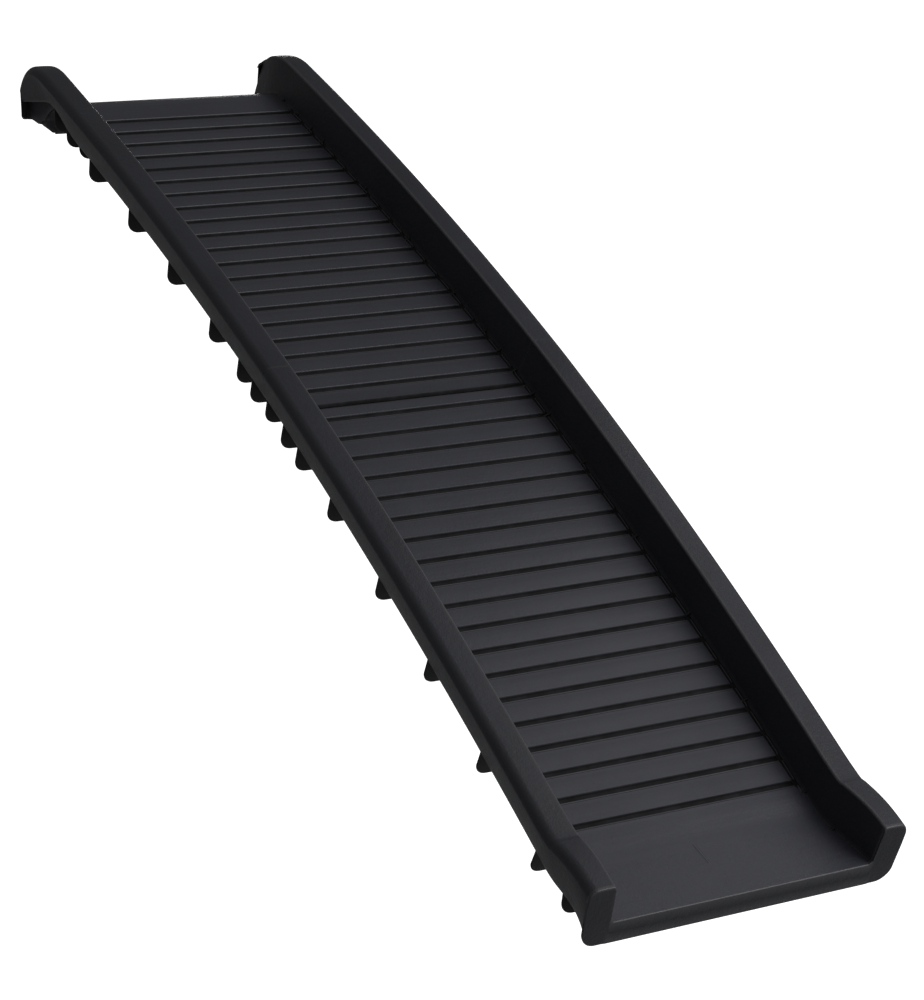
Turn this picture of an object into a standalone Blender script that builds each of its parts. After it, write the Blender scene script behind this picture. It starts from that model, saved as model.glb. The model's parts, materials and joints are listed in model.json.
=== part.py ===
"""Folding dog ramp: two moulded halves with side rails, joined by a low hinge rod.

Frame: X runs along the ramp, from the low entry end (-X) to the landing end (+X).
Y runs across it and Z is up. The origin is at the bottom centre of the unfolded
ramp, which lies on its rubber feet on a floor.

Every moulding is drawn in deck coordinates: s is the distance along the tread from
the hinge gap, y the distance across, and h the height above the tread.
"""

import math

import bmesh
import bpy
import numpy as np
from mathutils import Matrix, Vector

# Driving dimensions, in metres and degrees.
DECK_CURVATURE = 0.163          # the tread is an arc of about 6.1 m radius
HINGE_KINK = 0.8                # the two halves meet in this slight peak
UPPER_LENGTH = 0.804            # from the hinge gap to the face of the landing end
LOWER_LENGTH = 0.788            # from the hinge gap to the face of the entry end
WALL = 0.003
DECK_GAP = 0.0045               # open slot across the tread at the hinge
RAIL_SEAM_S = 0.0235            # the rails part here, a little beyond the tread's slot
RAIL_SEAM_GAP = 0.0009

# Cross-section of the tray and its rails.
DECK_HALF_WIDTH = 0.1563
RAIL_HEIGHT = 0.0468
RAIL_INNER_TOP = 0.1638
RAIL_BAND_EDGE = 0.1885         # where the flat top of the rail turns over outwards
HALF_WIDTH = 0.1985
INNER_EDGE_RADIUS = 0.0025
SHOULDER_DROP = 0.0100
SKIRT_HALF_WIDTH = 0.1814
SKIRT_HEIGHT, SKIRT_DROP = -0.0060, 0.0040   # the outer walls reach lower towards the toe

# Treads.
UPPER_GROOVES, UPPER_PITCH, UPPER_FIRST = 20, 0.0332, 0.0314
LOWER_GROOVES, LOWER_PITCH, LOWER_FIRST = 19, 0.03506, 0.0230
GROOVE_WIDTH, GROOVE_DEPTH = 0.0028, 0.0017

# Cross ribs under the deck.
RIB_DEPTH, RIB_GROWTH = 0.0420, 0.0040       # deeper by RIB_GROWTH for each metre to the toe
RIB_HALF_WIDTH = 0.1799
RIB_CORNER = 0.0164
RIB_TOP = 0.012                 # the ribs stiffen the hollow rails up to here
UPPER_RIBS = (0.0695, 0.1090, 0.1920, 0.3190, 0.4440, 0.5730)
LOWER_RIBS = (-0.0185, -0.0590, -0.1485, -0.2780, -0.4045, -0.5365, -0.6690)
UPPER_END_RIBS = {0.6105: 0.0250, 0.6520: 0.0300, 0.6945: 0.0290}
TOE_RIB_S, TOE_RIB_DEPTH = -0.7260, 0.0370
HINGE_WALL_S, HINGE_WALL_DEPTH, HINGE_WALL_CORNER = 0.0275, 0.0391, 0.0230
STRINGER_YS = (-0.105, -0.035, 0.035, 0.105)
STRINGER_DEPTH, STRINGER_WALL = 0.020, 0.0025

# Landing end: the tread rolls over, drops and ends in a flat lip.
ROLL_START = 0.702
ROLL_RADIUS, ROLL_TURN, FOOT_FILLET = 0.072, math.radians(70), 0.008
LIP_HEIGHT = -0.069
LIP_BOTTOM = -0.0753
NOSE_START, NOSE_RADIUS = 0.712, 0.115
NOSE_TAPER_S, NOSE_TAPER_IN, NOSE_TAPER_OUT = 0.735, 0.010, 0.006

# Entry end: the whole tray bends up and closes in a front wall.
TOE_BEND_S, TOE_BEND, TOE_BEND_LENGTH = -0.7010, math.radians(14.3), 0.024
TOE_RAIL_RISE = 0.0050          # the rails bow up this far between the bend and the end
FRONT_WALL_DEPTH, FRONT_WALL_CORNER = 0.0290, 0.018
FRONT_WALL_HALF_WIDTH, FLARE_LENGTH = 0.1860, 0.045

# Hinge.
HINGE_S, HINGE_H = 0.0045, -0.0465
KNUCKLE_RADIUS, BORE_RADIUS, ROD_RADIUS = 0.0080, 0.0034, 0.0030
KNUCKLE_WIDTH, KNUCKLE_GAP = 0.0230, 0.0010
KNUCKLE_PAIRS = (-0.118, -0.040, 0.040, 0.118)
WEB_FOOT, WEB_TOP = 0.0100, 0.0270
ROD_HALF_LENGTH = 0.1475
CAP_RADIUS, CAP_LENGTH, CAP_BORE_DEPTH = 0.0058, 0.0070, 0.0050

# Rubber feet.
CLEARANCE = 0.0003
FOOT_LENGTH, FOOT_WALL, FOOT_GRIP, FOOT_SOLE = 0.056, 0.0024, 0.0085, 0.0028
FOOT_YS = (-0.070, 0.070)
PAD_LENGTH, PAD_WIDTH, PAD_THICKNESS, PAD_S = 0.016, 0.270, 0.0050, 0.7905

PROUD = 0.0002                  # end walls stand this far out of the tray that they close
CIRCLE_STEPS = 24
PATH_STEP = 0.0005


def clear_scene():
    for old in list(bpy.data.objects):
        bpy.data.objects.remove(old, do_unlink=True)


def new_collection(name, hidden=False):
    collection = bpy.data.collections.new(name)
    collection.hide_render = hidden
    bpy.context.scene.collection.children.link(collection)
    return collection


def plastic(name, colour, roughness, metallic=0.0):
    material = bpy.data.materials.new(name)
    material.use_nodes = True
    shader = material.node_tree.nodes["Principled BSDF"]
    shader.inputs["Base Color"].default_value = (*colour, 1.0)
    shader.inputs["Roughness"].default_value = roughness
    shader.inputs["Metallic"].default_value = metallic
    return material


class DeckPath:
    """The tread's centre line in the XZ plane, tilted so that both ends rest on the floor."""

    def __init__(self, tilt=0.0, origin=(0.0, 0.0)):
        reach = 0.9
        self.s = np.arange(-reach, reach + PATH_STEP, PATH_STEP)
        heading = tilt + self.slope(self.s)
        middle = (heading[1:] + heading[:-1]) / 2
        x = np.concatenate([[0.0], np.cumsum(np.cos(middle)) * PATH_STEP])
        z = np.concatenate([[0.0], np.cumsum(np.sin(middle)) * PATH_STEP])
        self.x = x - np.interp(0.0, self.s, x) + origin[0]
        self.z = z - np.interp(0.0, self.s, z) + origin[1]
        self.heading = heading

    @staticmethod
    def slope(s):
        """Heading of the tread, from the level at the hinge: arc, peak at the hinge, toe bend."""
        kink = math.radians(HINGE_KINK) / 2
        toe = np.clip((TOE_BEND_S + TOE_BEND_LENGTH / 2 - s) / TOE_BEND_LENGTH, 0.0, 1.0)
        along = np.maximum(s, TOE_BEND_S)
        return -DECK_CURVATURE * along - np.where(s >= 0, kink, -kink) - TOE_BEND * toe

    def point(self, s, y, h):
        x, z = np.interp(s, self.s, self.x), np.interp(s, self.s, self.z)
        angle = np.interp(s, self.s, self.heading)
        return Vector((float(x - h * np.sin(angle)), y, float(z + h * np.cos(angle))))

    def turn(self, s):
        """Rotation that takes X, Z to the tread's tangent and normal at s."""
        return Matrix.Rotation(-float(np.interp(s, self.s, self.heading)), 4, "Y")


def resting_path():
    """The path turned and lifted so that the lower feet and the landing pad touch z = 0."""
    tilt = 0.0
    for _ in range(3):
        path = DeckPath(tilt)
        low = min(foot_section(path), key=lambda point: point.z)
        high = min(pad_section(path), key=lambda point: point.z)
        tilt += math.atan2(low.z - high.z, high.x - low.x)
    ends = (path.point(UPPER_LENGTH, 0, NOSE_TIP).x, front_x(path))
    return DeckPath(tilt, (-sum(ends) / 2, -low.z))


def front_x(path):
    return path.point(-LOWER_LENGTH, 0, -FRONT_WALL_DEPTH).x


def arc(centre, radius, start, end, steps):
    angles = np.radians(np.linspace(start, end, steps + 1))
    return [(centre[0] + radius * math.cos(a), centre[1] + radius * math.sin(a)) for a in angles]


def rail_height(s):
    """Rail top above the tread line: level, then a round nose at the landing end."""
    over = min(max(s - NOSE_START, 0.0), NOSE_RADIUS * 0.985)
    toe = min(max((TOE_BEND_S - s) / (LOWER_LENGTH + TOE_BEND_S), 0.0), 1.0)
    nose = NOSE_RADIUS - math.sqrt(NOSE_RADIUS**2 - over**2)
    return RAIL_HEIGHT - nose + TOE_RAIL_RISE * math.sin(math.pi * toe)


NOSE_TIP = rail_height(UPPER_LENGTH)


def skirt_height(s):
    """Lower edge of the outer wall: level, arched up before the nose, then down with it."""
    rise = 0.011 * math.exp(-(((s - 0.700) / 0.045) ** 2))
    drop = 0.030 * min(max((s - 0.715) / (UPPER_LENGTH - 0.715), 0.0), 1.0) ** 1.4
    return SKIRT_HEIGHT + rise - drop - SKIRT_DROP * max(-s, 0.0)


def skirt_half_width(s):
    """Half the width over the outer walls' lower edges: they flare out to the front wall."""
    flare = min(max((FLARE_LENGTH - LOWER_LENGTH - s) / FLARE_LENGTH, 0.0), 1.0)
    return SKIRT_HALF_WIDTH + (FRONT_WALL_HALF_WIDTH - SKIRT_HALF_WIDTH) * flare**2


def rib_depth(s):
    return RIB_DEPTH - RIB_GROWTH * s


def rolled_end():
    """Side view of the tread's landing end: a roll-over arc, a steep face, a fillet and the lip."""
    turned = ROLL_TURN
    sines, cosines = math.sin(turned), math.cos(turned)
    face = (-LIP_HEIGHT - (ROLL_RADIUS + FOOT_FILLET) * (1 - cosines)) / sines
    angles = np.linspace(0.0, turned, 6)
    s = list(ROLL_START + ROLL_RADIUS * np.sin(angles))
    h = list(-ROLL_RADIUS * (1 - np.cos(angles)))
    s.append(s[-1] + face * cosines)
    h.append(h[-1] - face * sines)
    back = turned - angles[1:]
    s += list(s[-1] + FOOT_FILLET * (sines - np.sin(back)))
    h += list(h[-1] - FOOT_FILLET * (np.cos(back) - cosines))
    return s, h


ROLL_S, ROLL_H = rolled_end()


def deck_height(s):
    """Tread surface above the arc: zero, then the roll-over at the landing end."""
    return float(np.interp(s, [0.0, *ROLL_S, 1.0], [0.0, *ROLL_H, ROLL_H[-1]]))


def deck_thickness(s):
    """Vertical thickness of the deck's wall, greater where it is steep."""
    slope = (deck_height(s + 0.001) - deck_height(s - 0.001)) / 0.002
    return WALL * math.hypot(1.0, slope)


def nose_taper(s):
    """How far the nose has narrowed at s: its inner wall moves out and its outer wall in."""
    along = min(max((s - NOSE_TAPER_S) / (UPPER_LENGTH - NOSE_TAPER_S), 0.0), 1.0)
    return NOSE_TAPER_IN * along**2, NOSE_TAPER_OUT * along**2


def outer_side(s, proud=0.0):
    """Outside of a rail from its inner top edge round the shoulder, as (y, h)."""
    top, (inward, outward) = rail_height(s), nose_taper(s)
    centre = (RAIL_INNER_TOP + inward + INNER_EDGE_RADIUS, top - INNER_EDGE_RADIUS)
    edge = arc(centre, INNER_EDGE_RADIUS + proud, 180, 90, 3)
    across = HALF_WIDTH - RAIL_BAND_EDGE + proud
    drop = SHOULDER_DROP + proud
    angles = np.radians(np.linspace(90, 0, 6))
    shoulder = [
        (RAIL_BAND_EDGE - outward + across * math.cos(a), top - SHOULDER_DROP + drop * math.sin(a))
        for a in angles
    ]
    return edge + shoulder


def inner_side(s):
    """Inside of the hollow rail under outer_side, from the shoulder back to the inner wall."""
    top, (inward, outward) = rail_height(s), nose_taper(s)
    across = HALF_WIDTH - WALL - RAIL_BAND_EDGE
    drop = SHOULDER_DROP - WALL
    angles = np.radians(np.linspace(0, 90, 4))
    shoulder = [
        (RAIL_BAND_EDGE - outward + across * math.cos(a), top - WALL - drop * (1 - math.sin(a)))
        for a in angles
    ]
    return shoulder + [(RAIL_INNER_TOP + inward + WALL, top - WALL)]


def tray_section(s):
    """Closed (y, h) outline of the whole tray at s, from the tread's middle to +Y and round."""
    skirt, deck = skirt_height(s), deck_height(s)
    under, foot = deck - deck_thickness(s), DECK_HALF_WIDTH + nose_taper(s)[0]
    right = [(foot, deck)] + outer_side(s)
    right += [(skirt_half_width(s), skirt), (skirt_half_width(s) - WALL, skirt)]
    right += inner_side(s) + [(foot + WALL, under)]
    left = [(-y, h) for y, h in reversed(right)]
    split = len(outer_side(s)) + 2
    outer_left, inner_left = left[-split:], left[:-split]
    return outer_left + right + inner_left


def inner_wall_middle(h):
    """Y of the middle of the rail's sloping inner wall, h above the tread."""
    lean = (RAIL_INNER_TOP - DECK_HALF_WIDTH) / (RAIL_HEIGHT - INNER_EDGE_RADIUS)
    return DECK_HALF_WIDTH + WALL / 2 + lean * h


def mesh_object(name, mesh_maker, collection):
    mesh = bpy.data.meshes.new(name)
    graph = bmesh.new()
    mesh_maker(graph)
    bmesh.ops.recalc_face_normals(graph, faces=graph.faces)
    graph.to_mesh(mesh)
    graph.free()
    made = bpy.data.objects.new(name, mesh)
    collection.objects.link(made)
    return made


def loft(name, rings, collection):
    """Closed solid through rings of points that match one to one, capped at both ends."""

    def build(graph):
        loops = [[graph.verts.new(point) for point in ring] for ring in rings]
        for first, second in zip(loops, loops[1:]):
            for i in range(len(first)):
                j = (i + 1) % len(first)
                graph.faces.new((first[i], first[j], second[j], second[i]))
        graph.faces.new(loops[0])
        graph.faces.new(loops[-1])

    return mesh_object(name, build, collection)


def cross_plate(name, path, s, outline, thickness, collection):
    """Flat plate of a (y, h) outline, square to the tread at s."""
    turn = path.turn(s).to_3x3()
    step = turn @ Vector((thickness / 2, 0, 0))
    face = [path.point(s, y, h) for y, h in outline]
    return loft(name, [[p - step for p in face], [p + step for p in face]], collection)


def side_plate(name, centre, outline, y_low, y_high, collection):
    """Flat plate of an (x, z) outline about a centre, from y_low to y_high."""
    rings = [[centre + Vector((x, y, z)) for x, z in outline] for y in (y_low, y_high)]
    return loft(name, rings, collection)


def cylinder(name, centre, radius, y_low, y_high, collection):
    outline = arc((0, 0), radius, 0, 360, CIRCLE_STEPS)[:-1]
    return side_plate(name, Vector((centre.x, 0, centre.z)), outline, y_low, y_high, collection)


def mirrored(half):
    """Outline for both sides, from the points at y > 0, in order round the shape."""
    return half + [(-y, h) for y, h in reversed(half)]


def rib_outline(depth, corner):
    """A cross rib: under the deck, up into both hollow rails, with round lower corners."""
    top = [(inner_wall_middle(0), -WALL / 2), (inner_wall_middle(RIB_TOP), RIB_TOP)]
    side = [(SKIRT_HALF_WIDTH + 0.0030, RIB_TOP), (SKIRT_HALF_WIDTH - WALL / 3, SKIRT_HEIGHT + 0.002)]
    round_off = arc((RIB_HALF_WIDTH - corner, -depth + corner), corner, 0, -90, 5)
    return mirrored(top + side + round_off)


def stringer(name, path, y, s_low, s_high, collection):
    stations = np.linspace(s_low, s_high, 12)
    rings = []
    for s in stations:
        low, high = y - STRINGER_WALL / 2, y + STRINGER_WALL / 2
        corners = ((low, -WALL / 2), (high, -WALL / 2), (high, -STRINGER_DEPTH), (low, -STRINGER_DEPTH))
        rings.append([path.point(float(s), *corner) for corner in corners])
    return loft(name, rings, collection)


def groove_cutter(name, path, first, pitch, count, sign, collection):
    """Boxes that cut the slots between the slats, one for each step along the tread."""

    def build(graph):
        for index in range(count):
            s = sign * (first + index * pitch)
            size = (GROOVE_WIDTH, 2 * (DECK_HALF_WIDTH - 0.0012), 2 * GROOVE_DEPTH)
            place = Matrix.Translation(path.point(s, 0, 0)) @ path.turn(s)
            bmesh.ops.create_cube(graph, size=1.0, matrix=place @ Matrix.Diagonal((*size, 1.0)))

    return mesh_object(name, build, collection)


def knuckle_bracket(name, axis, side, y_low, y_high, wall_distance, collection):
    """A hinge knuckle with the web that carries it from the wall on its own half."""
    barrel = arc((0, 0), KNUCKLE_RADIUS, -120, 60, 12)
    web = [(-wall_distance, WEB_TOP), (-wall_distance, WEB_FOOT)]
    outline = [(side * x, z) for x, z in barrel + web]
    return side_plate(name, axis, outline, y_low, y_high, collection)


def cut_with(target, cutter):
    cut = target.modifiers.new(f"cut_{cutter.name}", "BOOLEAN")
    cut.operation = "DIFFERENCE"
    cut.object = cutter
    cut.solver = "EXACT"


def join_all(target, collection, cutters, trimmers):
    """Trim the tray, unite it with every solid in a collection, then cut with each cutter."""
    for trimmer in trimmers:
        cut_with(target, trimmer)
    union = target.modifiers.new("join", "BOOLEAN")
    union.operation = "UNION"
    union.operand_type = "COLLECTION"
    union.collection = collection
    union.solver = "EXACT"
    for cutter in cutters:
        cut_with(target, cutter)


def knuckle_spans(upper):
    """Y spans of one half's knuckles: each pair holds one of either half, side by side."""
    spans = []
    for centre in KNUCKLE_PAIRS:
        outer = 1 if centre > 0 else -1
        offset = (KNUCKLE_WIDTH + KNUCKLE_GAP) / 2 * (-outer if upper else outer)
        middle = centre + offset
        spans.append((middle - KNUCKLE_WIDTH / 2, middle + KNUCKLE_WIDTH / 2))
    return spans


def add_knuckles(prefix, path, axis, wall_s, sign, upper, collection):
    wall = path.point(wall_s, 0, HINGE_H)
    distance = abs(axis.x - wall.x)
    for index, (low, high) in enumerate(knuckle_spans(upper), start=1):
        knuckle_bracket(f"{prefix}_knuckle_{index}", axis, sign, low, high, distance, collection)


def upper_stations():
    plain = np.linspace(DECK_GAP / 2, NOSE_START, 20)
    nose = np.linspace(0.745, UPPER_LENGTH - WALL / 2, 8)
    return sorted({round(float(s), 5) for s in [*plain, *ROLL_S, *nose]})


def lower_stations():
    arc_part = np.linspace(RAIL_SEAM_S, TOE_BEND_S + 0.02, 20)
    bend = np.linspace(TOE_BEND_S + 0.012, TOE_BEND_S - 0.012, 5)
    return [float(s) for s in [*arc_part, *bend, -LOWER_LENGTH + WALL / 2]]


def tray(name, path, stations, collection):
    return loft(name, [[path.point(s, y, h) for y, h in tray_section(s)] for s in stations], collection)


def path_box(name, path, s_span, y_span, h_span, collection):
    """Box between two stations of the tread, for cutting."""
    (y0, y1), (h0, h1) = y_span, h_span
    corners = ((y0, h0), (y1, h0), (y1, h1), (y0, h1))
    return loft(name, [[path.point(s, *corner) for corner in corners] for s in s_span], collection)


def slot_cutter(path, cutters):
    """Clears the lower half's tread from under the upper half's tongue, between its rails."""
    span, width = (-DECK_GAP / 2, RAIL_SEAM_S + 0.02), DECK_HALF_WIDTH - 0.0001
    return path_box("tread_slot", path, span, (-width, width), (-0.02, 0.02), cutters)


def rail_cutters(path, cutters):
    """Clear the upper half's rails from beside its tongue, where the lower half's rails reach."""
    span, inner = (-0.02, RAIL_SEAM_S + RAIL_SEAM_GAP), DECK_HALF_WIDTH - 0.0006
    return [
        path_box("seam_left", path, span, (inner, HALF_WIDTH + 0.02), (-0.02, 0.07), cutters),
        path_box("seam_right", path, span, (-HALF_WIDTH - 0.02, -inner), (-0.02, 0.07), cutters),
    ]


def landing_plate_outline():
    foot = DECK_HALF_WIDTH + NOSE_TAPER_IN
    half = [(foot - PROUD, LIP_HEIGHT + PROUD)] + outer_side(UPPER_LENGTH, PROUD)
    half += [(SKIRT_HALF_WIDTH, skirt_height(UPPER_LENGTH) - 0.002)]
    half += arc((RIB_HALF_WIDTH - RIB_CORNER, LIP_BOTTOM + RIB_CORNER), RIB_CORNER, 0, -90, 5)
    return mirrored(half)


def front_wall_outline():
    half = [(DECK_HALF_WIDTH - PROUD, PROUD)] + outer_side(-LOWER_LENGTH, PROUD)
    reach = FRONT_WALL_HALF_WIDTH + PROUD - FRONT_WALL_CORNER
    corner = (reach, -FRONT_WALL_DEPTH + FRONT_WALL_CORNER)
    half += arc(corner, FRONT_WALL_CORNER, 0, -90, 6)
    return mirrored(half)


def upper_half(path, axis, parts, helpers):
    body = tray("upper_half", path, upper_stations(), parts)
    for index, s in enumerate(UPPER_RIBS, start=1):
        cross_plate(f"upper_rib_{index}", path, s, rib_outline(rib_depth(s), RIB_CORNER), WALL, helpers)
    for s, depth in UPPER_END_RIBS.items():
        outline = rib_outline(depth, RIB_CORNER)
        cross_plate(f"upper_end_rib_{s:.4f}", path, s, outline, WALL, helpers)
    hinge_wall = rib_outline(HINGE_WALL_DEPTH, HINGE_WALL_CORNER)
    cross_plate("upper_hinge_wall", path, HINGE_WALL_S, hinge_wall, WALL, helpers)
    end_s = UPPER_LENGTH - WALL / 2
    cross_plate("landing_plate", path, end_s, landing_plate_outline(), WALL, helpers)
    for index, y in enumerate(STRINGER_YS, start=1):
        stringer(f"upper_stringer_{index}", path, y, HINGE_WALL_S, max(UPPER_END_RIBS), helpers)
    add_knuckles("upper", path, axis, HINGE_WALL_S, -1, True, helpers)
    return body


def lower_half(path, axis, parts, helpers):
    body = tray("lower_half", path, lower_stations(), parts)
    for index, s in enumerate(LOWER_RIBS, start=1):
        cross_plate(f"lower_rib_{index}", path, s, rib_outline(rib_depth(s), RIB_CORNER), WALL, helpers)
    toe_rib = rib_outline(TOE_RIB_DEPTH, RIB_CORNER)
    cross_plate("lower_toe_rib", path, TOE_RIB_S, toe_rib, WALL, helpers)
    end_s = -LOWER_LENGTH + WALL / 2
    cross_plate("front_wall", path, end_s, front_wall_outline(), WALL, helpers)
    for index, y in enumerate(STRINGER_YS, start=1):
        stringer(f"lower_stringer_{index}", path, y, LOWER_RIBS[-1], LOWER_RIBS[0], helpers)
    add_knuckles("lower", path, axis, LOWER_RIBS[0], 1, False, helpers)
    return body


def hinge_cap(name, axis, side, parts, cutters):
    """Push-on cap with a blind bore over the rod's end."""
    inner = side * (ROD_HALF_LENGTH - CAP_BORE_DEPTH + CLEARANCE)
    outer = inner + side * CAP_LENGTH
    cap = cylinder(name, axis, CAP_RADIUS, min(inner, outer), max(inner, outer), parts)
    mouth = inner - side * 0.002
    bottom = side * (ROD_HALF_LENGTH + CLEARANCE)
    bore = cylinder(f"{name}_bore", axis, BORE_RADIUS, min(mouth, bottom), max(mouth, bottom), cutters)
    cut_with(cap, bore)
    return cap


def foot_section(path, y=0.0):
    """Outline of a rubber channel pushed up over the lower edge of the last cross rib."""
    s = LOWER_RIBS[-1]
    bottom = -rib_depth(s) - CLEARANCE - FOOT_SOLE
    inner = WALL / 2 + CLEARANCE
    outer = inner + FOOT_WALL
    grip_top, seat = bottom + FOOT_SOLE + FOOT_GRIP, bottom + FOOT_SOLE
    outline = (
        (-outer, bottom), (outer, bottom), (outer, grip_top), (inner, grip_top),
        (inner, seat), (-inner, seat), (-inner, grip_top), (-outer, grip_top),
    )
    origin, turn = path.point(s, 0, 0), path.turn(s)
    return [origin + turn @ Vector((x, y, h)) for x, h in outline]


def pad_section(path, y=0.0):
    """Outline of the rubber strip under the lip, with chamfered long edges."""
    top = LIP_HEIGHT - WALL - CLEARANCE
    half, chamfer = PAD_LENGTH / 2, 0.0015
    outline = (
        (-half, top), (half, top), (half, top - PAD_THICKNESS + chamfer),
        (half - chamfer, top - PAD_THICKNESS), (-half + chamfer, top - PAD_THICKNESS),
        (-half, top - PAD_THICKNESS + chamfer),
    )
    return [path.point(PAD_S + s, y, h) for s, h in outline]


def rib_foot(name, path, y, parts):
    edges = (y - FOOT_LENGTH / 2, y + FOOT_LENGTH / 2)
    return loft(name, [foot_section(path, edge) for edge in edges], parts)


def landing_pad(path, parts):
    edges = (-PAD_WIDTH / 2, PAD_WIDTH / 2)
    return loft("landing_pad", [pad_section(path, edge) for edge in edges], parts)


def main():
    clear_scene()
    parts = new_collection("dog_ramp")
    cutters = new_collection("cutters", hidden=True)
    upper_helpers = new_collection("upper_joined", hidden=True)
    lower_helpers = new_collection("lower_joined", hidden=True)
    body_plastic = plastic("black_plastic", (0.030, 0.030, 0.033), 0.55)
    steel = plastic("zinc_steel", (0.55, 0.56, 0.57), 0.35, 1.0)
    cap_plastic = plastic("cap_plastic", (0.020, 0.020, 0.021), 0.45)
    rubber = plastic("foot_rubber", (0.016, 0.016, 0.016), 0.85)

    path = resting_path()
    axis = path.point(HINGE_S, 0, HINGE_H)
    upper = upper_half(path, axis, parts, upper_helpers)
    lower = lower_half(path, axis, parts, lower_helpers)
    bore_half = ROD_HALF_LENGTH + 0.01
    bore = cylinder("knuckle_bore", axis, BORE_RADIUS, -bore_half, bore_half, cutters)
    upper_slots = groove_cutter(
        "upper_slots", path, UPPER_FIRST, UPPER_PITCH, UPPER_GROOVES, 1, cutters)
    lower_slots = groove_cutter(
        "lower_slots", path, LOWER_FIRST, LOWER_PITCH, LOWER_GROOVES, -1, cutters)
    join_all(upper, upper_helpers, (bore, upper_slots), rail_cutters(path, cutters))
    join_all(lower, lower_helpers, (bore, lower_slots), [slot_cutter(path, cutters)])

    rod = cylinder("hinge_rod", axis, ROD_RADIUS, -ROD_HALF_LENGTH, ROD_HALF_LENGTH, parts)
    caps = [
        hinge_cap("hinge_cap_left", axis, 1, parts, cutters),
        hinge_cap("hinge_cap_right", axis, -1, parts, cutters),
    ]
    feet = [
        rib_foot("foot_right", path, FOOT_YS[0], parts),
        rib_foot("foot_left", path, FOOT_YS[1], parts),
        landing_pad(path, parts),
    ]
    for made, material in (
        (upper, body_plastic), (lower, body_plastic), (rod, steel),
        *((cap, cap_plastic) for cap in caps), *((foot, rubber) for foot in feet),
    ):
        made.data.materials.append(material)
    for helper in [*cutters.objects, *upper_helpers.objects, *lower_helpers.objects]:
        helper.hide_render = True
        helper.display_type = "WIRE"


main()
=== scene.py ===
"""Looks of a folding dog ramp: fine mouldings, hinge, rubber feet, finishes, studio and camera.

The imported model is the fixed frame. Mouldings are drawn in deck coordinates: s runs along
the tread from the hinge slot, y across it and h square to it, all in metres.
"""

import json
import logging
import math
from dataclasses import dataclass, field
from enum import Enum

import bmesh
import bpy
import numpy as np
from mathutils import Matrix, Vector


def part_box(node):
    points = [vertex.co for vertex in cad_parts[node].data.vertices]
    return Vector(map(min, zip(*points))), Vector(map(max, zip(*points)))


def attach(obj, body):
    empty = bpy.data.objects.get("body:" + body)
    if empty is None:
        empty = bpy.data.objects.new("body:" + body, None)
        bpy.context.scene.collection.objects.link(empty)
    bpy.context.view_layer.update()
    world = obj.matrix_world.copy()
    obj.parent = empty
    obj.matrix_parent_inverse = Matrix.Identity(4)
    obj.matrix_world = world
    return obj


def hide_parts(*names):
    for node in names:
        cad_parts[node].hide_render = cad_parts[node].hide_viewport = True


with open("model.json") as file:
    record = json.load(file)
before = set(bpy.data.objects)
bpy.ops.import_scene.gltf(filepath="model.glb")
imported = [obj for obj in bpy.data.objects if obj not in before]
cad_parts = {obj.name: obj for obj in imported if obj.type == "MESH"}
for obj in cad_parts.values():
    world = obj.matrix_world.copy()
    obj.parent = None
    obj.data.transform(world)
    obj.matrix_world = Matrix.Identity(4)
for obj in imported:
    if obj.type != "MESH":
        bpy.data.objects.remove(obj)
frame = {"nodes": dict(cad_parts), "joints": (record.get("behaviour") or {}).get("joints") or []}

LOG = logging.getLogger("dog_ramp")

Skin = tuple[np.ndarray, np.ndarray]
Tree = bpy.types.NodeTree
Socket = bpy.types.NodeSocket
Inputs = dict[int | str, object]


class Side(Enum):
    """The two sides of the ramp, as the sign of y."""

    LEFT = 1
    RIGHT = -1


class Half(Enum):
    """The two mouldings, named as their bodies are."""

    UPPER = "upper"
    LOWER = "lower"


def smooth(t: np.ndarray) -> np.ndarray:
    """Ease from 0 to 1: t squared times (3 - 2 t), held at the ends."""
    t = np.clip(t, 0.0, 1.0)
    return t * t * (3.0 - 2.0 * t)


def bell(t: np.ndarray) -> np.ndarray:
    """A bump of height 1 at t = 0: exp of minus t squared."""
    return np.exp(-t * t)


# ---------------------------------------------------------------- mesh helpers


def grid_faces(rows: int, columns: int, first: int = 0) -> np.ndarray:
    """Quads between neighbours of a rows by columns grid of vertices.

    Args:
        rows: number of grid rows.
        columns: number of grid columns.
        first: index of the grid's first vertex.

    Returns:
        An array of four vertex indices a face.
    """
    i, j = np.meshgrid(np.arange(rows - 1), np.arange(columns - 1), indexing="ij")
    corner = (first + i * columns + j).ravel()
    return np.stack([corner, corner + 1, corner + columns + 1, corner + columns], 1)


def shell(outer: np.ndarray, inner: np.ndarray) -> Skin:
    """Closed skin between two grids of the same size: both faces and the four edges.

    Args:
        outer: (rows, columns, 3) points of one face.
        inner: the matching points of the other face.

    Returns:
        Vertices and quads.
    """
    rows, columns = outer.shape[:2]
    size = rows * columns
    index = np.arange(size).reshape(rows, columns)
    faces = [grid_faces(rows, columns), grid_faces(rows, columns, size)[:, ::-1]]
    for edge in (index[0, ::-1], index[-1], index[:, 0], index[::-1, -1]):
        faces.append(np.stack([edge[:-1], edge[1:], edge[1:] + size, edge[:-1] + size], 1))
    return np.concatenate([outer.reshape(-1, 3), inner.reshape(-1, 3)]), np.concatenate(faces)


def loop_faces(index: np.ndarray) -> np.ndarray:
    """Quads between neighbouring rows of vertex indices, going right round each row."""
    loop = np.concatenate([index, index[:, :1]], 1)
    return np.stack([loop[:-1, :-1], loop[:-1, 1:], loop[1:, 1:], loop[1:, :-1]], -1).reshape(-1, 4)


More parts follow.
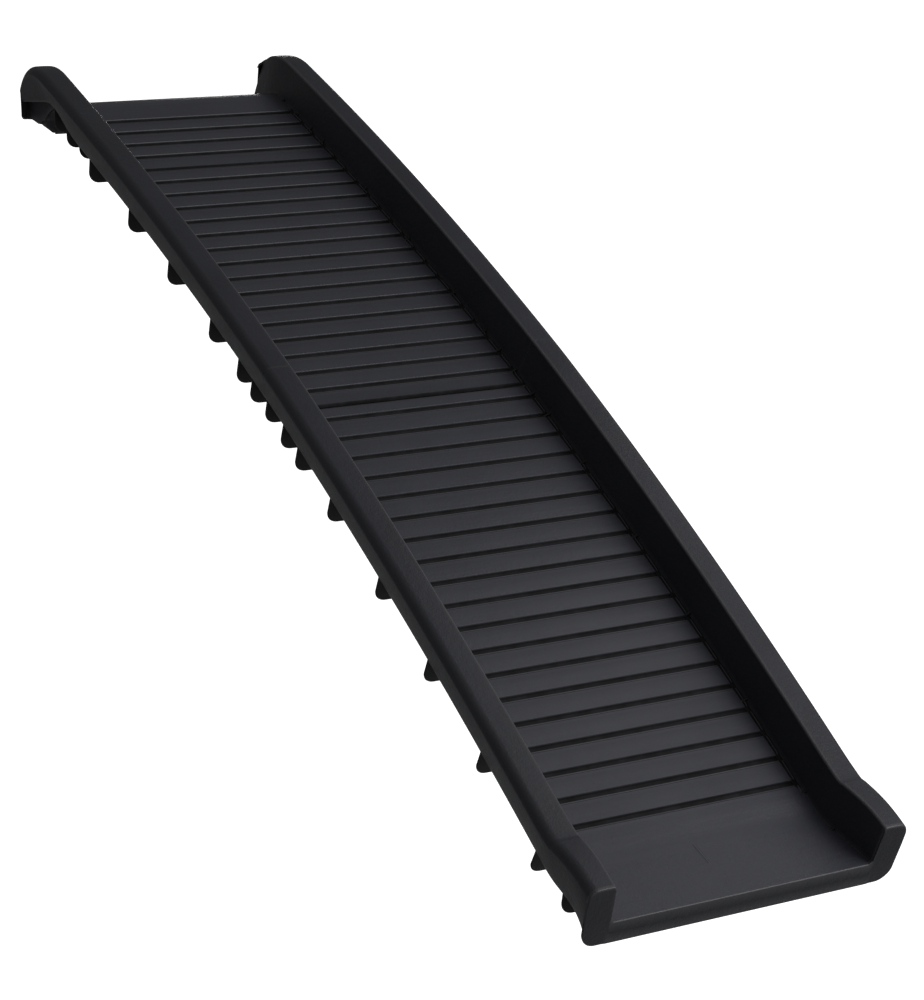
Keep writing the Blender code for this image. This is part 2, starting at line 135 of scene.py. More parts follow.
def ring_tube(rings: np.ndarray, closed: bool = False) -> Skin:
    """Skin over closed rings in a row, capped with a fan at each end or joined into a torus.

    Args:
        rings: (rings, points, 3), each ring a closed loop.
        closed: True to join the last ring to the first.

    Returns:
        Vertices and quads; a fan's triangles repeat their last corner.
    """
    count, around = rings.shape[:2]
    index = np.arange(count * around).reshape(count, around)
    if closed:
        return rings.reshape(-1, 3), loop_faces(np.concatenate([index, index[:1]]))
    points, faces = [rings.reshape(-1, 3)], [loop_faces(index)]
    loops = np.concatenate([index, index[:, :1]], 1)
    for step, loop in enumerate((loops[0, ::-1], loops[-1])):
        points.append(rings[0 if step == 0 else -1].mean(0)[None])
        middle = np.full(around, count * around + step)
        faces.append(np.stack([loop[:-1], loop[1:], middle, middle], 1))
    return np.concatenate(points), np.concatenate(faces)


def gathered(shapes: list[Skin]) -> Skin:
    """Several meshes as one: vertices in a row, face indices moved on to match."""
    starts = np.cumsum([0, *(len(points) for points, _ in shapes)])
    faces = [quads + start for (_, quads), start in zip(shapes, starts)]
    return np.concatenate([points for points, _ in shapes]), np.concatenate(faces)


def outward(points: np.ndarray, faces: np.ndarray) -> np.ndarray:
    """The faces, turned round if their signed volume says that they point inwards."""
    a, b, c, d = (points[faces[:, k]] for k in range(4))
    volume = np.einsum("ij,ij->i", a, np.cross(b, c)).sum()
    volume += np.einsum("ij,ij->i", a, np.cross(c, d)).sum()
    return faces[:, ::-1] if volume < 0 else faces


def convexity(points: np.ndarray, faces: np.ndarray) -> np.ndarray:
    """How sharply the skin turns outwards at each vertex, in 1/m: below zero in hollows.

    Along each edge it is twice the far end's drop below the vertex's tangent plane, over
    the edge's length squared; the vertex takes the mean of its edges.
    """
    corners = [points[faces[:, k]] for k in range(4)]
    facing = np.cross(corners[2] - corners[0], corners[3] - corners[1])
    normal = np.zeros_like(points)
    for k in range(4):
        np.add.at(normal, faces[:, k], facing)
    normal /= np.maximum(np.linalg.norm(normal, axis=1), 1e-12)[:, None]
    start = np.concatenate([faces[:, k] for k in range(4)])
    stop = np.concatenate([faces[:, (k + 1) % 4] for k in range(4)])
    step = points[stop] - points[start]
    square = np.maximum(np.einsum("ij,ij->i", step, step), 1e-9)
    bend = -2 * np.einsum("ij,ij->i", step, normal[start]) / square
    total = np.bincount(start, bend, len(points))
    return total / np.maximum(np.bincount(start, minlength=len(points)), 1)


@dataclass(frozen=True)
class Piece:
    """A finished piece: what it is called, what it rides on, replaces and is made of."""

    name: str
    body: str
    slot: str
    material: bpy.types.Material
    replaces: tuple[str, ...] = ()
    sharp_degrees: float = 42.0
    painted_light_bend: float = 220.0

    def make(self, shapes: list[Skin],
             extra_highlight: np.ndarray | None = None,
             grime: np.ndarray | None = None) -> bpy.types.Object:
        """Puts the shapes into one mesh, welds it, and hangs it on its body.

        Args:
            shapes: closed skins, each with its vertices and quads.
            extra_highlight: further painted highlight at each vertex besides that on the convex edges, for a
                single shape.
            grime: further painted shade at each vertex besides that in the hollows, for a single shape.

        Returns:
            The new object, at the origin.
        """
        shapes = [(points, outward(points, faces)) for points, faces in shapes]
        points, faces = gathered(shapes)
        mesh = bpy.data.meshes.new(self.name)
        mesh.from_pydata(points.tolist(), [], self.corners(faces))
        # Painted light from curvature: convex edges get a painted highlight, hollows and creases a painted
        # shade.
        bend = convexity(points, faces) / self.painted_light_bend
        for mark, amount, given in (("wear", bend, extra_highlight), ("grime", -bend / 2, grime)):
            amount = smooth(amount)
            if given is not None:
                amount = np.maximum(amount, given)
            mesh.attributes.new(mark, "FLOAT", "POINT").data.foreach_set("value", amount)
        graph = bmesh.new()
        graph.from_mesh(mesh)
        bmesh.ops.remove_doubles(graph, verts=graph.verts, dist=1e-6)
        bmesh.ops.dissolve_degenerate(graph, edges=graph.edges, dist=1e-7)
        graph.to_mesh(mesh)
        graph.free()
        mesh.shade_smooth()
        mesh.set_sharp_from_angle(angle=math.radians(self.sharp_degrees))
        made = bpy.data.objects.new(self.name, mesh)
        bpy.context.scene.collection.objects.link(made)
        made.data.materials.append(self.material)
        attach(made, self.body)
        if self.replaces:
            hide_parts(*self.replaces)
        LOG.info("%s: %d vertices, on %s", self.name, len(mesh.vertices), self.body)
        return made

    @staticmethod
    def corners(faces: np.ndarray) -> list[list[int]]:
        """Faces as lists, with a fan's repeated corner dropped."""
        triangle = faces[:, 2] == faces[:, 3]
        turned = faces[:, 0] == faces[:, 1]
        quads = faces[~triangle & ~turned].tolist()
        return quads + faces[triangle][:, :3].tolist() + faces[turned][:, 1:].tolist()


# ---------------------------------------------------------------- shape of the ramp


@dataclass
class DeckPath:
    """The tread's centre line: an arc with a slight peak at the hinge and a bent-up toe."""

    anchor: tuple[float, float, float]
    toe_s: float
    tilt: float = 0.030873
    curvature: float = 0.163
    kink: float = math.radians(0.8)
    toe_bend: float = math.radians(14.3)
    toe_length: float = 0.024
    step: float = 0.0005
    reach: float = 0.9
    anchor_s: float = 0.0045
    anchor_h: float = -0.0465

    def __post_init__(self) -> None:
        """Sums the heading into a line, then moves it so that the hinge axis is on its anchor."""
        self.s = np.arange(-self.reach, self.reach + self.step, self.step)
        heading = self.heading(self.s)
        middle = (heading[1:] + heading[:-1]) / 2
        self.x = np.concatenate([[0.0], np.cumsum(np.cos(middle)) * self.step])
        self.z = np.concatenate([[0.0], np.cumsum(np.sin(middle)) * self.step])
        axis = self.place(np.array(self.anchor_s), np.array(0.0), np.array(self.anchor_h))
        self.x += self.anchor[0] - axis[0]
        self.z += self.anchor[2] - axis[2]

    def heading(self, s: np.ndarray) -> np.ndarray:
        """Angle of the tread above the level at s, in radians."""
        toe = np.clip((self.toe_s + self.toe_length / 2 - s) / self.toe_length, 0.0, 1.0)
        along = np.maximum(s, self.toe_s)
        peak = np.where(s >= 0, self.kink / 2, -self.kink / 2)
        return self.tilt - self.curvature * along - peak - self.toe_bend * toe

    def heading_at(self, s: float) -> float:
        """The heading at one station."""
        return float(np.interp(s, self.s, self.heading(self.s)))

    def place(self, s: np.ndarray, y: np.ndarray, h: np.ndarray) -> np.ndarray:
        """Row-frame points of deck coordinates: the line's point plus h along its normal.

        Args:
            s: distances along the tread.
            y: distances across it.
            h: heights above it.

        Returns:
            An array with one more axis, for x, y and z.
        """
        s, y, h = np.broadcast_arrays(s, y, h)
        angle = np.interp(s, self.s, self.heading(self.s))
        x = np.interp(s, self.s, self.x) - h * np.sin(angle)
        z = np.interp(s, self.s, self.z) + h * np.cos(angle)
        return np.stack([x, y, z], -1)


@dataclass(frozen=True)
class TraySection:
    """Cross-section of the tray and how it changes along the ramp."""

    upper_length: float = 0.804
    lower_length: float = 0.788
    wall: float = 0.0022
    deck_half_width: float = 0.1563
    rail_height: float = 0.0468
    rail_inner_top: float = 0.1638
    band_edge: float = 0.1878
    half_width: float = 0.1985
    edge_radius: float = 0.0029
    shoulder_drop: float = 0.0108
    band_fall: float = 0.0002
    face_bulge: float = 0.0008
    skirt_half_width: float = 0.1814
    skirt_height: float = -0.0060
    skirt_drop: float = 0.0040
    arch_s: float = 0.700
    arch_rise: float = 0.011
    arch_spread: float = 0.045
    fall_s: float = 0.715
    fall_depth: float = 0.030
    fall_power: float = 1.4
    front_half_width: float = 0.1945
    flare_length: float = 0.060
    nose_start: float = 0.712
    nose_radius: float = 0.115
    taper_start: float = 0.735
    taper_in: float = 0.010
    taper_out: float = 0.013
    nose_across: float = 0.007
    nose_drop: float = 0.014
    toe_open: float = 0.0080
    toe_lean: float = 0.0040
    toe_s: float = -0.7010
    toe_rise: float = 0.0050
    bend_fill: float = 0.0016
    bend_spread: float = 0.022
    roll_start: float = 0.702
    roll_radius: float = 0.072
    roll_turn: float = math.radians(70)
    foot_fillet: float = 0.008
    lip_height: float = -0.069
    lip_lift: float = 0.0138
    lift_drop: float = 0.040
    lift_fade: float = 0.025
    side_y: float = 0.137
    side_fade: float = 0.014
    rail_foot: float = 0.0038

    def top(self, s: np.ndarray) -> np.ndarray:
        """Rail top above the tread: level, a circular nose at one end, a slight bow at the toe."""
        over = np.clip(s - self.nose_start, 0.0, self.nose_radius * 0.985)
        nose = self.nose_radius - np.sqrt(self.nose_radius**2 - over**2)
        toe = np.clip((self.toe_s - s) / (self.lower_length + self.toe_s), 0.0, 1.0)
        fill = self.bend_fill * bell((s - self.toe_s) / self.bend_spread)
        return self.rail_height - nose + self.toe_rise * np.sin(np.pi * toe) + fill

    def skirt(self, s: np.ndarray) -> np.ndarray:
        """Lower edge of the outer wall: arched up before the nose, then down with it."""
        rise = self.arch_rise * bell((s - self.arch_s) / self.arch_spread)
        along = np.clip((s - self.fall_s) / (self.upper_length - self.fall_s), 0.0, 1.0)
        fall = self.fall_depth * along**self.fall_power
        return self.skirt_height + rise - fall - self.skirt_drop * np.maximum(-s, 0.0)

    def skirt_y(self, s: np.ndarray) -> np.ndarray:
        """Half the width over the outer walls' lower edges, which flare out to the front wall."""
        flare = np.clip((self.flare_length - self.lower_length - s) / self.flare_length, 0.0, 1.0)
        return self.skirt_half_width + (self.front_half_width - self.skirt_half_width) * flare**2

    def taper(self, s: np.ndarray) -> np.ndarray:
        """Share of the nose's narrowing at s: the square of the way along it."""
        return np.clip((s - self.taper_start) / (self.upper_length - self.taper_start), 0.0, 1.0) ** 2

    def roll(self, steps: int = 14) -> np.ndarray:
        """Side view (s, h) of the landing end: a convex arc, a steep face, a fillet and the lip.

        Args:
            steps: steps along each arc.

        Returns:
            (points, 2), in order from the tread to the end of the lip.
        """
        sine, cosine = math.sin(self.roll_turn), math.cos(self.roll_turn)
        over = np.linspace(0.0, self.roll_turn, steps)
        crest = np.stack([self.roll_start + self.roll_radius * np.sin(over),
                          -self.roll_radius * (1 - np.cos(over))], 1)
        drop = (self.roll_radius + self.foot_fillet) * (1 - cosine)
        face = (-self.lip_height - drop) / sine
        down = crest[-1] + np.linspace(0.25, 1.0, 4)[:, None] * face * np.array([cosine, -sine])
        back = self.roll_turn - over[1:]
        foot = down[-1] + self.foot_fillet * np.stack([sine - np.sin(back), cosine - np.cos(back)], 1)
        lip = np.linspace(foot[-1, 0], self.upper_length - self.wall / 2, 6)[1:]
        flat = np.stack([lip, np.full_like(lip, self.lip_height)], 1)
        return np.concatenate([crest, down, foot, flat])

    def deck(self, s: np.ndarray) -> np.ndarray:
        """Tread height at s: zero, then the landing end's side view."""
        side = self.roll()
        return np.interp(s, np.concatenate([[0.0], side[:, 0]]), np.concatenate([[0.0], side[:, 1]]))

    def toe(self, s: np.ndarray) -> np.ndarray:
        """Share of the tray's widening at the toe: eased from the bend to the end."""
        return smooth((self.toe_s - s) / (self.lower_length + self.toe_s))

    def floor_half_width(self, s: np.ndarray) -> np.ndarray:
        """Half the width of the tray's floor at s."""
        return self.deck_half_width + self.toe_open * self.toe(s)

    def lifted(self, h: np.ndarray) -> np.ndarray:
        """How much the landing end's outer edges rise above a height h of its side view."""
        return self.lip_lift * smooth((-h - self.lift_drop) / self.lift_fade)

    def beside(self, y: np.ndarray) -> np.ndarray:
        """Share of the lift at y: none in the middle, all of it near the rails."""
        return smooth((np.abs(y) - self.side_y) / self.side_fade)

    @staticmethod
    def normals(outline: np.ndarray) -> np.ndarray:
        """Outward unit normals of outlines that run from the inner foot over to the skirt."""
        tangent = np.gradient(outline, axis=-2)
        tangent = tangent / np.linalg.norm(tangent, axis=-1)[..., None]
        return np.stack([-tangent[..., 1], tangent[..., 0]], -1)

    def rail(self, s: np.ndarray) -> np.ndarray:
        """Outline (y, h) of the left rail at each s, from its inner foot over to the skirt.

        The inner wall is a straight line, the inner top edge a quarter circle, the band a
        shallow crown, the shoulder a quarter ellipse and the outer face a slightly full line.

        Args:
            s: stations along the ramp.

        Returns:
            (stations, points, 2).
        """
        s = s[:, None]
        narrow, deck = self.taper(s), self.deck(s)
        deck = deck + self.lifted(deck)
        top = self.top(s) - self.band_fall
        radius, foot = self.edge_radius, self.floor_half_width(s) + self.taper_in * narrow
        inner = self.rail_inner_top + self.taper_in * narrow + self.toe_lean * self.toe(s)
        across = self.half_width - self.band_edge + self.nose_across * narrow
        band = self.half_width - self.taper_out * narrow - across
        t = np.linspace(0, 1, 7)[None, :-1]
        low = deck - self.rail_foot
        wall = (foot + (inner - foot) * t, low + (top - radius - low) * t)
        a = np.radians(np.linspace(180, 90, 8))[None]
        edge = (inner + radius + radius * np.cos(a), top - radius + radius * np.sin(a))
        t = np.linspace(0, 1, 8)[None, 1:-1]
        crown = (inner + radius + (band - inner - radius) * t, top + self.band_fall * 4 * t * (1 - t))
        a = np.radians(np.linspace(90, 0, 14))[None]
        drop = self.shoulder_drop + self.nose_drop * narrow
        shoulder = (band + across * np.cos(a), top - drop + drop * np.sin(a))
        t = np.linspace(0, 1, 10)[None, 1:]
        reach = band + across
        face = (reach + (self.skirt_y(s) - reach) * t + self.face_bulge * 4 * t * (1 - t) * (1 - narrow),
                top - drop + (self.skirt(s) - top + drop) * t)
        parts = [np.stack(np.broadcast_arrays(part[0] + 0 * s, part[1] + 0 * s), -1)
                 for part in (wall, edge, crown, shoulder, face)]
        return np.concatenate(parts, 1)


@dataclass(frozen=True)
class SlatPattern:
    """Relief of the tread: slats parted by grooves, with a scored line and a channel with a broken ridge at
    the slats' ends.
    """

    first: float
    pitch: float
    count: int
    sign: int
    groove_width: float = 0.0044
    groove_depth: float = 0.0034
    groove_edge: float = 0.0007
    score_offset: float = 0.0052
    score_width: float = 0.0005
    score_depth: float = 0.00028
    lip_rise: float = 0.0016
    end_y: float = 0.1490
    end_depth: float = 0.0022
    end_fade: float = 0.0012
    ridge_y: float = 0.1528
    ridge_width: float = 0.0009
    ridge_gap: float = 0.0035
    ridge_fade: float = 0.001
    # Painted shade: full in the grooves, plus a gradient that darkens each slat towards its upper groove.
    upper_grime: float = 0.45
    hollow_shade_gain: float = 2.4
    last_slat: float = 0.012
    slat_fade: float = 0.01

    def grooves(self) -> np.ndarray:
        """Stations of the grooves."""
        return self.sign * (self.first + self.pitch * np.arange(self.count))

    def stations(self, s_low: float, s_high: float) -> np.ndarray:
        """Stations close together round each groove and wider on the slats.

        Args:
            s_low: first station.
            s_high: last station.

        Returns:
            Sorted stations, both ends among them.
        """
        near = np.array([0, 0.5, 0.9, 1.2, 1.5, 1.8, 2.1, 2.6, 3.6]) * 0.001
        score = -self.score_offset + np.array([-1.0, -0.5, 0, 0.5, 1.0]) * 0.001
        wide = np.array([-0.3, -0.05, 0.12, 0.2, 0.28, 0.4]) * self.pitch
        offsets = np.concatenate([-near, near[1:], score, wide])
        found = (self.grooves()[:, None] + offsets[None]).ravel()
        ends = np.array([0, 0.3, 0.7, 1.2, 2.5]) * 0.001
        spread = np.linspace(s_low, s_high, 30)
        found = np.concatenate([found, s_low + ends, s_high - ends, spread])
        found = np.unique(np.round(found[(found >= s_low) & (found <= s_high)], 5))
        return found[np.concatenate([[True], np.diff(found) > 0.00012])]

    def slatted(self, s: np.ndarray) -> np.ndarray:
        """One where there are slats and zero past the last groove, as a column."""
        low, high = np.sort(self.grooves()[[0, -1]])
        below, above = (self.pitch, self.last_slat) if self.sign > 0 else (self.last_slat, self.pitch)
        from_low, from_high = s - low + below, high + above - s
        return (smooth(from_low / self.slat_fade) * smooth(from_high / self.slat_fade))[:, None]

    def from_groove(self, s: np.ndarray) -> np.ndarray:
        """Signed distance from the nearest groove, as a column."""
        distance = s[:, None] - self.grooves()[None]
        return np.take_along_axis(distance, np.abs(distance).argmin(1)[:, None], 1)

    def groove(self, s: np.ndarray) -> np.ndarray:
        """One in the grooves and zero on the slats, as a column."""
        return 1 - smooth((np.abs(self.from_groove(s)) - self.groove_width / 2) / self.groove_edge)

    def climb(self, s: np.ndarray) -> np.ndarray:
        """Way up each slat, from 0 at its lower groove to 1 at its upper one, as a column."""
        return np.mod((s[:, None] - self.grooves()[0]) / self.pitch, 1.0)

    def hollow(self, s: np.ndarray, y: np.ndarray) -> np.ndarray:
        """Depth of the grooves, and of the channel at the slats' ends with its broken ridge.

        Args:
            s: (rows,) stations.
            y: (columns,) distances across.

        Returns:
            (rows, columns) depths.
        """
        near, side = np.abs(self.from_groove(s)), np.abs(y)[None]
        end = smooth((side - self.end_y) / self.end_fade)
        ridge = bell((side - self.ridge_y) / self.ridge_width)
        ridge = ridge * smooth((near - self.ridge_gap) / self.ridge_fade)
        channel = self.end_depth * end * (1 - ridge)
        return np.maximum(self.groove_depth * self.groove(s) * (1 - end), channel) * self.slatted(s)

    def relief(self, s: np.ndarray, y: np.ndarray) -> np.ndarray:
        """Height over the plain tread: each slat falls to its upper edge, less the hollows.

        Args:
            s: (rows,) stations.
            y: (columns,) distances across.

        Returns:
            (rows, columns) heights.
        """
        inside = 1 - smooth((np.abs(y)[None] - self.end_y) / self.end_fade)
        score = bell((self.from_groove(s) + self.score_offset) / self.score_width)
        fall = self.lip_rise * self.climb(s) ** 2 + self.score_depth * score
        return -fall * (1 - self.groove(s)) * inside * self.slatted(s) - self.hollow(s, y)

    def grime(self, s: np.ndarray, y: np.ndarray) -> np.ndarray:
        """Painted shade from 0 to 1: full in the hollows, and some over each slat's upper part, growing
        towards its upper groove.
        """
        held = smooth(self.hollow(s, y) / self.groove_depth * self.hollow_shade_gain)
        return np.maximum(held, self.upper_grime * self.climb(s) ** 3 * self.slatted(s))


# ---------------------------------------------------------------- finishes


class Effect(Enum):
    """Shared shader groups, by name."""

    GRAIN = "moulded grain"
    STREAKS = "cross streaks"
    HANDLING = "handling marks"
    PAINTED_LIGHT_BREAKUP = "rubbed edges"


def feed(tree: Tree, node: bpy.types.Node, inputs: Inputs) -> None:
    """Feeds a node's inputs: a socket is linked to its input, and anything else is its value."""
    for key, value in inputs.items():
        if isinstance(value, Socket):
            tree.links.new(value, node.inputs[key])
        else:
            node.inputs[key].default_value = value


def add_node(tree: Tree, kind: str, inputs: Inputs | None = None, **settings: object) -> bpy.types.Node:
    """Adds a shader node to a tree.

    Args:
        tree: the tree that it goes into.
        kind: its type, without Blender's prefix.
        inputs: what feeds its inputs, by name or number.
        settings: its own properties, such as the operation of a maths node.

    Returns:
        The new node.
    """
    node = tree.nodes.new("ShaderNode" + kind)
    for name, value in settings.items():
        setattr(node, name, value)
    feed(tree, node, inputs or {})
    return node


class EffectGroups:
    """Builds each shared effect once, as a node group with named inputs and outputs."""

    @staticmethod
    def start(effect: Effect, outputs: tuple[str, ...],
              **inputs: float) -> tuple[Tree, bpy.types.Node, bpy.types.Node]:
        """An empty group with a vector input, number inputs and number outputs.

        Args:
            effect: which effect the group is.
            outputs: names of the number outputs.
            inputs: number inputs and their usual values.

        Returns:
            The group's tree, its input node and its output node.
        """
        tree = bpy.data.node_groups.new(effect.value, "ShaderNodeTree")
        tree.interface.new_socket("Vector", in_out="INPUT", socket_type="NodeSocketVector")
        for name, value in inputs.items():
            socket = tree.interface.new_socket(name, in_out="INPUT", socket_type="NodeSocketFloat")
            socket.default_value = value
        for name in outputs:
            tree.interface.new_socket(name, in_out="OUTPUT", socket_type="NodeSocketFloat")
        return tree, tree.nodes.new("NodeGroupInput"), tree.nodes.new("NodeGroupOutput")

    @staticmethod
    def noise(tree: Tree, vector: Socket, scale: Socket, detail: float) -> Socket:
        """Value of a noise texture."""
        inputs = {"Vector": vector, "Scale": scale, "Detail": detail}
        return add_node(tree, "TexNoise", inputs).outputs["Fac"]

    @classmethod
    def grain(cls) -> Tree:
        """Fine leathery grain of a textured mould: two noises of unlike size, added."""
        tree, source, sink = cls.start(Effect.GRAIN, ("Height", "Value"), Scale=700.0)
        vector, scale = source.outputs["Vector"], source.outputs["Scale"]
        wider = add_node(tree, "Math", {0: scale, 1: 0.3}, operation="MULTIPLY").outputs[0]
        fine = cls.noise(tree, vector, scale, 2.0)
        coarse = cls.noise(tree, vector, wider, 1.0)
        total = add_node(tree, "Math", {0: fine, 1: coarse}, operation="ADD").outputs[0]
        feed(tree, sink, {"Height": total, "Value": fine})
        return tree

    @classmethod
    def streaks(cls) -> Tree:
        """Faint rubbed lines across the ramp: noise stretched along Y."""
        tree, source, sink = cls.start(Effect.STREAKS, ("Value",), Scale=1.0)
        inputs = {0: source.outputs["Vector"], 1: (260.0, 9.0, 260.0)}
        stretched = add_node(tree, "VectorMath", inputs, operation="MULTIPLY").outputs[0]
        feed(tree, sink, {"Value": cls.noise(tree, stretched, source.outputs["Scale"], 4.0)})
        return tree

    @classmethod
    def handling(cls) -> Tree:
        """Broad cloudy patches left by handling and cleaning."""
        tree, source, sink = cls.start(Effect.HANDLING, ("Value",), Scale=14.0)
        noise = cls.noise(tree, source.outputs["Vector"], source.outputs["Scale"], 5.0)
        spread = add_node(tree, "MapRange", {"Value": noise, "From Min": 0.3, "From Max": 0.7})
        feed(tree, sink, {"Value": spread.outputs["Result"]})
        return tree

    @classmethod
    def painted_light_breakup(cls) -> Tree:
        """Painted highlight or painted shade broken up by noise: the amount times a share that varies a
        little.
        """
        tree, source, sink = cls.start(Effect.PAINTED_LIGHT_BREAKUP, ("Value",), Scale=60.0, Amount=0.0)
        noise = cls.noise(tree, source.outputs["Vector"], source.outputs["Scale"], 4.0)
        inputs = {"Value": noise, "From Min": 0.3, "From Max": 0.65, "To Min": 0.85}
        share = add_node(tree, "MapRange", inputs).outputs["Result"]
        inputs = {0: share, 1: source.outputs["Amount"]}
        product = add_node(tree, "Math", inputs, operation="MULTIPLY")
        feed(tree, sink, {"Value": product.outputs[0]})
        return tree

    @classmethod
    def get(cls, effect: Effect) -> Tree:
        """The group of an effect, built the first time that it is asked for."""
        build = {Effect.GRAIN: cls.grain, Effect.STREAKS: cls.streaks,
                 Effect.HANDLING: cls.handling, Effect.PAINTED_LIGHT_BREAKUP: cls.painted_light_breakup}
        return bpy.data.node_groups.get(effect.value) or build[effect]()


@dataclass(frozen=True)
class Finish:
    """A surface finish: its two tones, painted-highlight and painted-shade tints, gloss, grain, streaks and
    patches.
    """

    name: str
    dark: tuple[float, float, float]
    light: tuple[float, float, float]
    highlight_tint: tuple[float, float, float] = (0.06, 0.06, 0.065)
    shade_tint: tuple[float, float, float] = (0.003, 0.003, 0.0035)
    roughness: tuple[float, float] = (0.45, 0.6)
    metallic: float = 0.0
    specular: float = 0.4
    grain_scale: float = 700.0
    grain_depth: float = 0.00006
    grain_share: float = 0.4
    streak_share: float = 0.0
    patch_scale: float = 14.0
    breakup_scale: float = 60.0

    @staticmethod
    def effect(tree: Tree, effect: Effect, place: Socket, scale: float,
               **inputs: Socket) -> bpy.types.bpy_prop_collection:
        """Outputs of a shared group, placed in the material's tree at the finish's own scale."""
        inputs = {"Vector": place, "Scale": scale, **inputs}
        return add_node(tree, "Group", inputs, node_tree=EffectGroups.get(effect)).outputs

    @staticmethod
    def mixed(tree: Tree, share: float | Socket, a: Socket, b: float | Socket) -> Socket:
        """A number, a share of the way from a to b."""
        return add_node(tree, "Mix", {0: share, 2: a, 3: b}, data_type="FLOAT").outputs[0]

    @staticmethod
    def tinted(tree: Tree, share: Socket, a: object, b: tuple[float, float, float]) -> Socket:
        """A colour, a share of the way from a to b."""
        return add_node(tree, "Mix", {0: share, 6: a, 7: (*b, 1.0)}, data_type="RGBA").outputs[2]

    def build(self) -> bpy.types.Material:
        """Makes the material: patches and streaks tint it, grain roughens it, and the mesh's marks lay on
        painted highlight and painted shade.

        Returns:
            The finished material.
        """
        material = bpy.data.materials.new(self.name)
        material.use_nodes = True
        tree = material.node_tree
        place = add_node(tree, "TexCoord").outputs["Object"]
        grain = self.effect(tree, Effect.GRAIN, place, self.grain_scale)
        patches = self.effect(tree, Effect.HANDLING, place, self.patch_scale)["Value"]
        streaks = self.effect(tree, Effect.STREAKS, place, 1.0)["Value"]
        tone = self.mixed(tree, self.streak_share, patches, streaks)
        tone = self.mixed(tree, self.grain_share, tone, grain["Value"])
        colour = self.tinted(tree, tone, (*self.dark, 1.0), self.light)
        smoothest, roughest = self.roughness
        inputs = {"Value": tone, "To Min": smoothest, "To Max": roughest}
        roughness = add_node(tree, "MapRange", inputs).outputs["Result"]
        # Painted light: the highlight tint, smoother, where the mesh marks a highlight; the shade tint,
        # fully rough, where it marks shade.
        for mark, tint, rough in (("wear", self.highlight_tint, smoothest), ("grime", self.shade_tint, 1.0)):
            amount = add_node(tree, "Attribute", attribute_name=mark).outputs["Fac"]
            share = self.effect(tree, Effect.PAINTED_LIGHT_BREAKUP, place, self.breakup_scale, Amount=amount)["Value"]
            colour = self.tinted(tree, share, colour, tint)
            roughness = self.mixed(tree, share, roughness, rough)
        height = self.mixed(tree, self.streak_share, grain["Height"], streaks)
        bump = add_node(tree, "Bump", {"Distance": self.grain_depth, "Height": height})
        feed(tree, tree.nodes["Principled BSDF"],
             {"Metallic": self.metallic, "Specular IOR Level": self.specular, "Base Color": colour,
              "Roughness": roughness, "Normal": bump.outputs["Normal"]})
        return material


@dataclass
class Palette:
    """Every finish on the ramp, made once."""

    tread: bpy.types.Material = field(init=False)
    rail: bpy.types.Material = field(init=False)
    underside: bpy.types.Material = field(init=False)
    steel: bpy.types.Material = field(init=False)
    cap: bpy.types.Material = field(init=False)
    rubber: bpy.types.Material = field(init=False)

    def __post_init__(self) -> None:
        """Builds the six finishes."""
        self.tread = Finish("tread plastic", (0.023, 0.0236, 0.031), (0.043, 0.044, 0.056),
                            highlight_tint=(0.052, 0.053, 0.066), roughness=(0.36, 0.50),
                            grain_scale=520.0, grain_depth=0.00036, streak_share=0.5).build()
        self.rail = Finish("rail plastic", (0.0155, 0.0158, 0.0205), (0.0245, 0.025, 0.032),
                           roughness=(0.44, 0.56), specular=0.35, grain_scale=520.0,
                           grain_depth=0.00036).build()
        # Painted shade: the underside mouldings are the rails' plastic, given a darker base colour for the
        # shadow beneath the ramp.
        self.underside = Finish("underside plastic", (0.0055, 0.0056, 0.0065), (0.0105, 0.0106, 0.012),
                                highlight_tint=(0.02, 0.02, 0.021), roughness=(0.55, 0.7),
                                specular=0.2, grain_scale=520.0, grain_depth=0.00012).build()
        self.steel = Finish("zinc-plated steel", (0.42, 0.43, 0.45), (0.62, 0.62, 0.62),
                            roughness=(0.25, 0.45), metallic=1.0, grain_scale=1500.0,
                            grain_depth=0.00002, streak_share=0.3).build()
        self.cap = Finish("cap plastic", (0.012, 0.012, 0.013), (0.020, 0.020, 0.021),
                          roughness=(0.38, 0.5), grain_scale=1200.0, grain_depth=0.00003).build()
        self.rubber = Finish("foot rubber", (0.010, 0.010, 0.010), (0.022, 0.021, 0.020),
                             roughness=(0.75, 0.92), specular=0.25, grain_scale=900.0,
                             grain_depth=0.0001).build()


# ---------------------------------------------------------------- mouldings


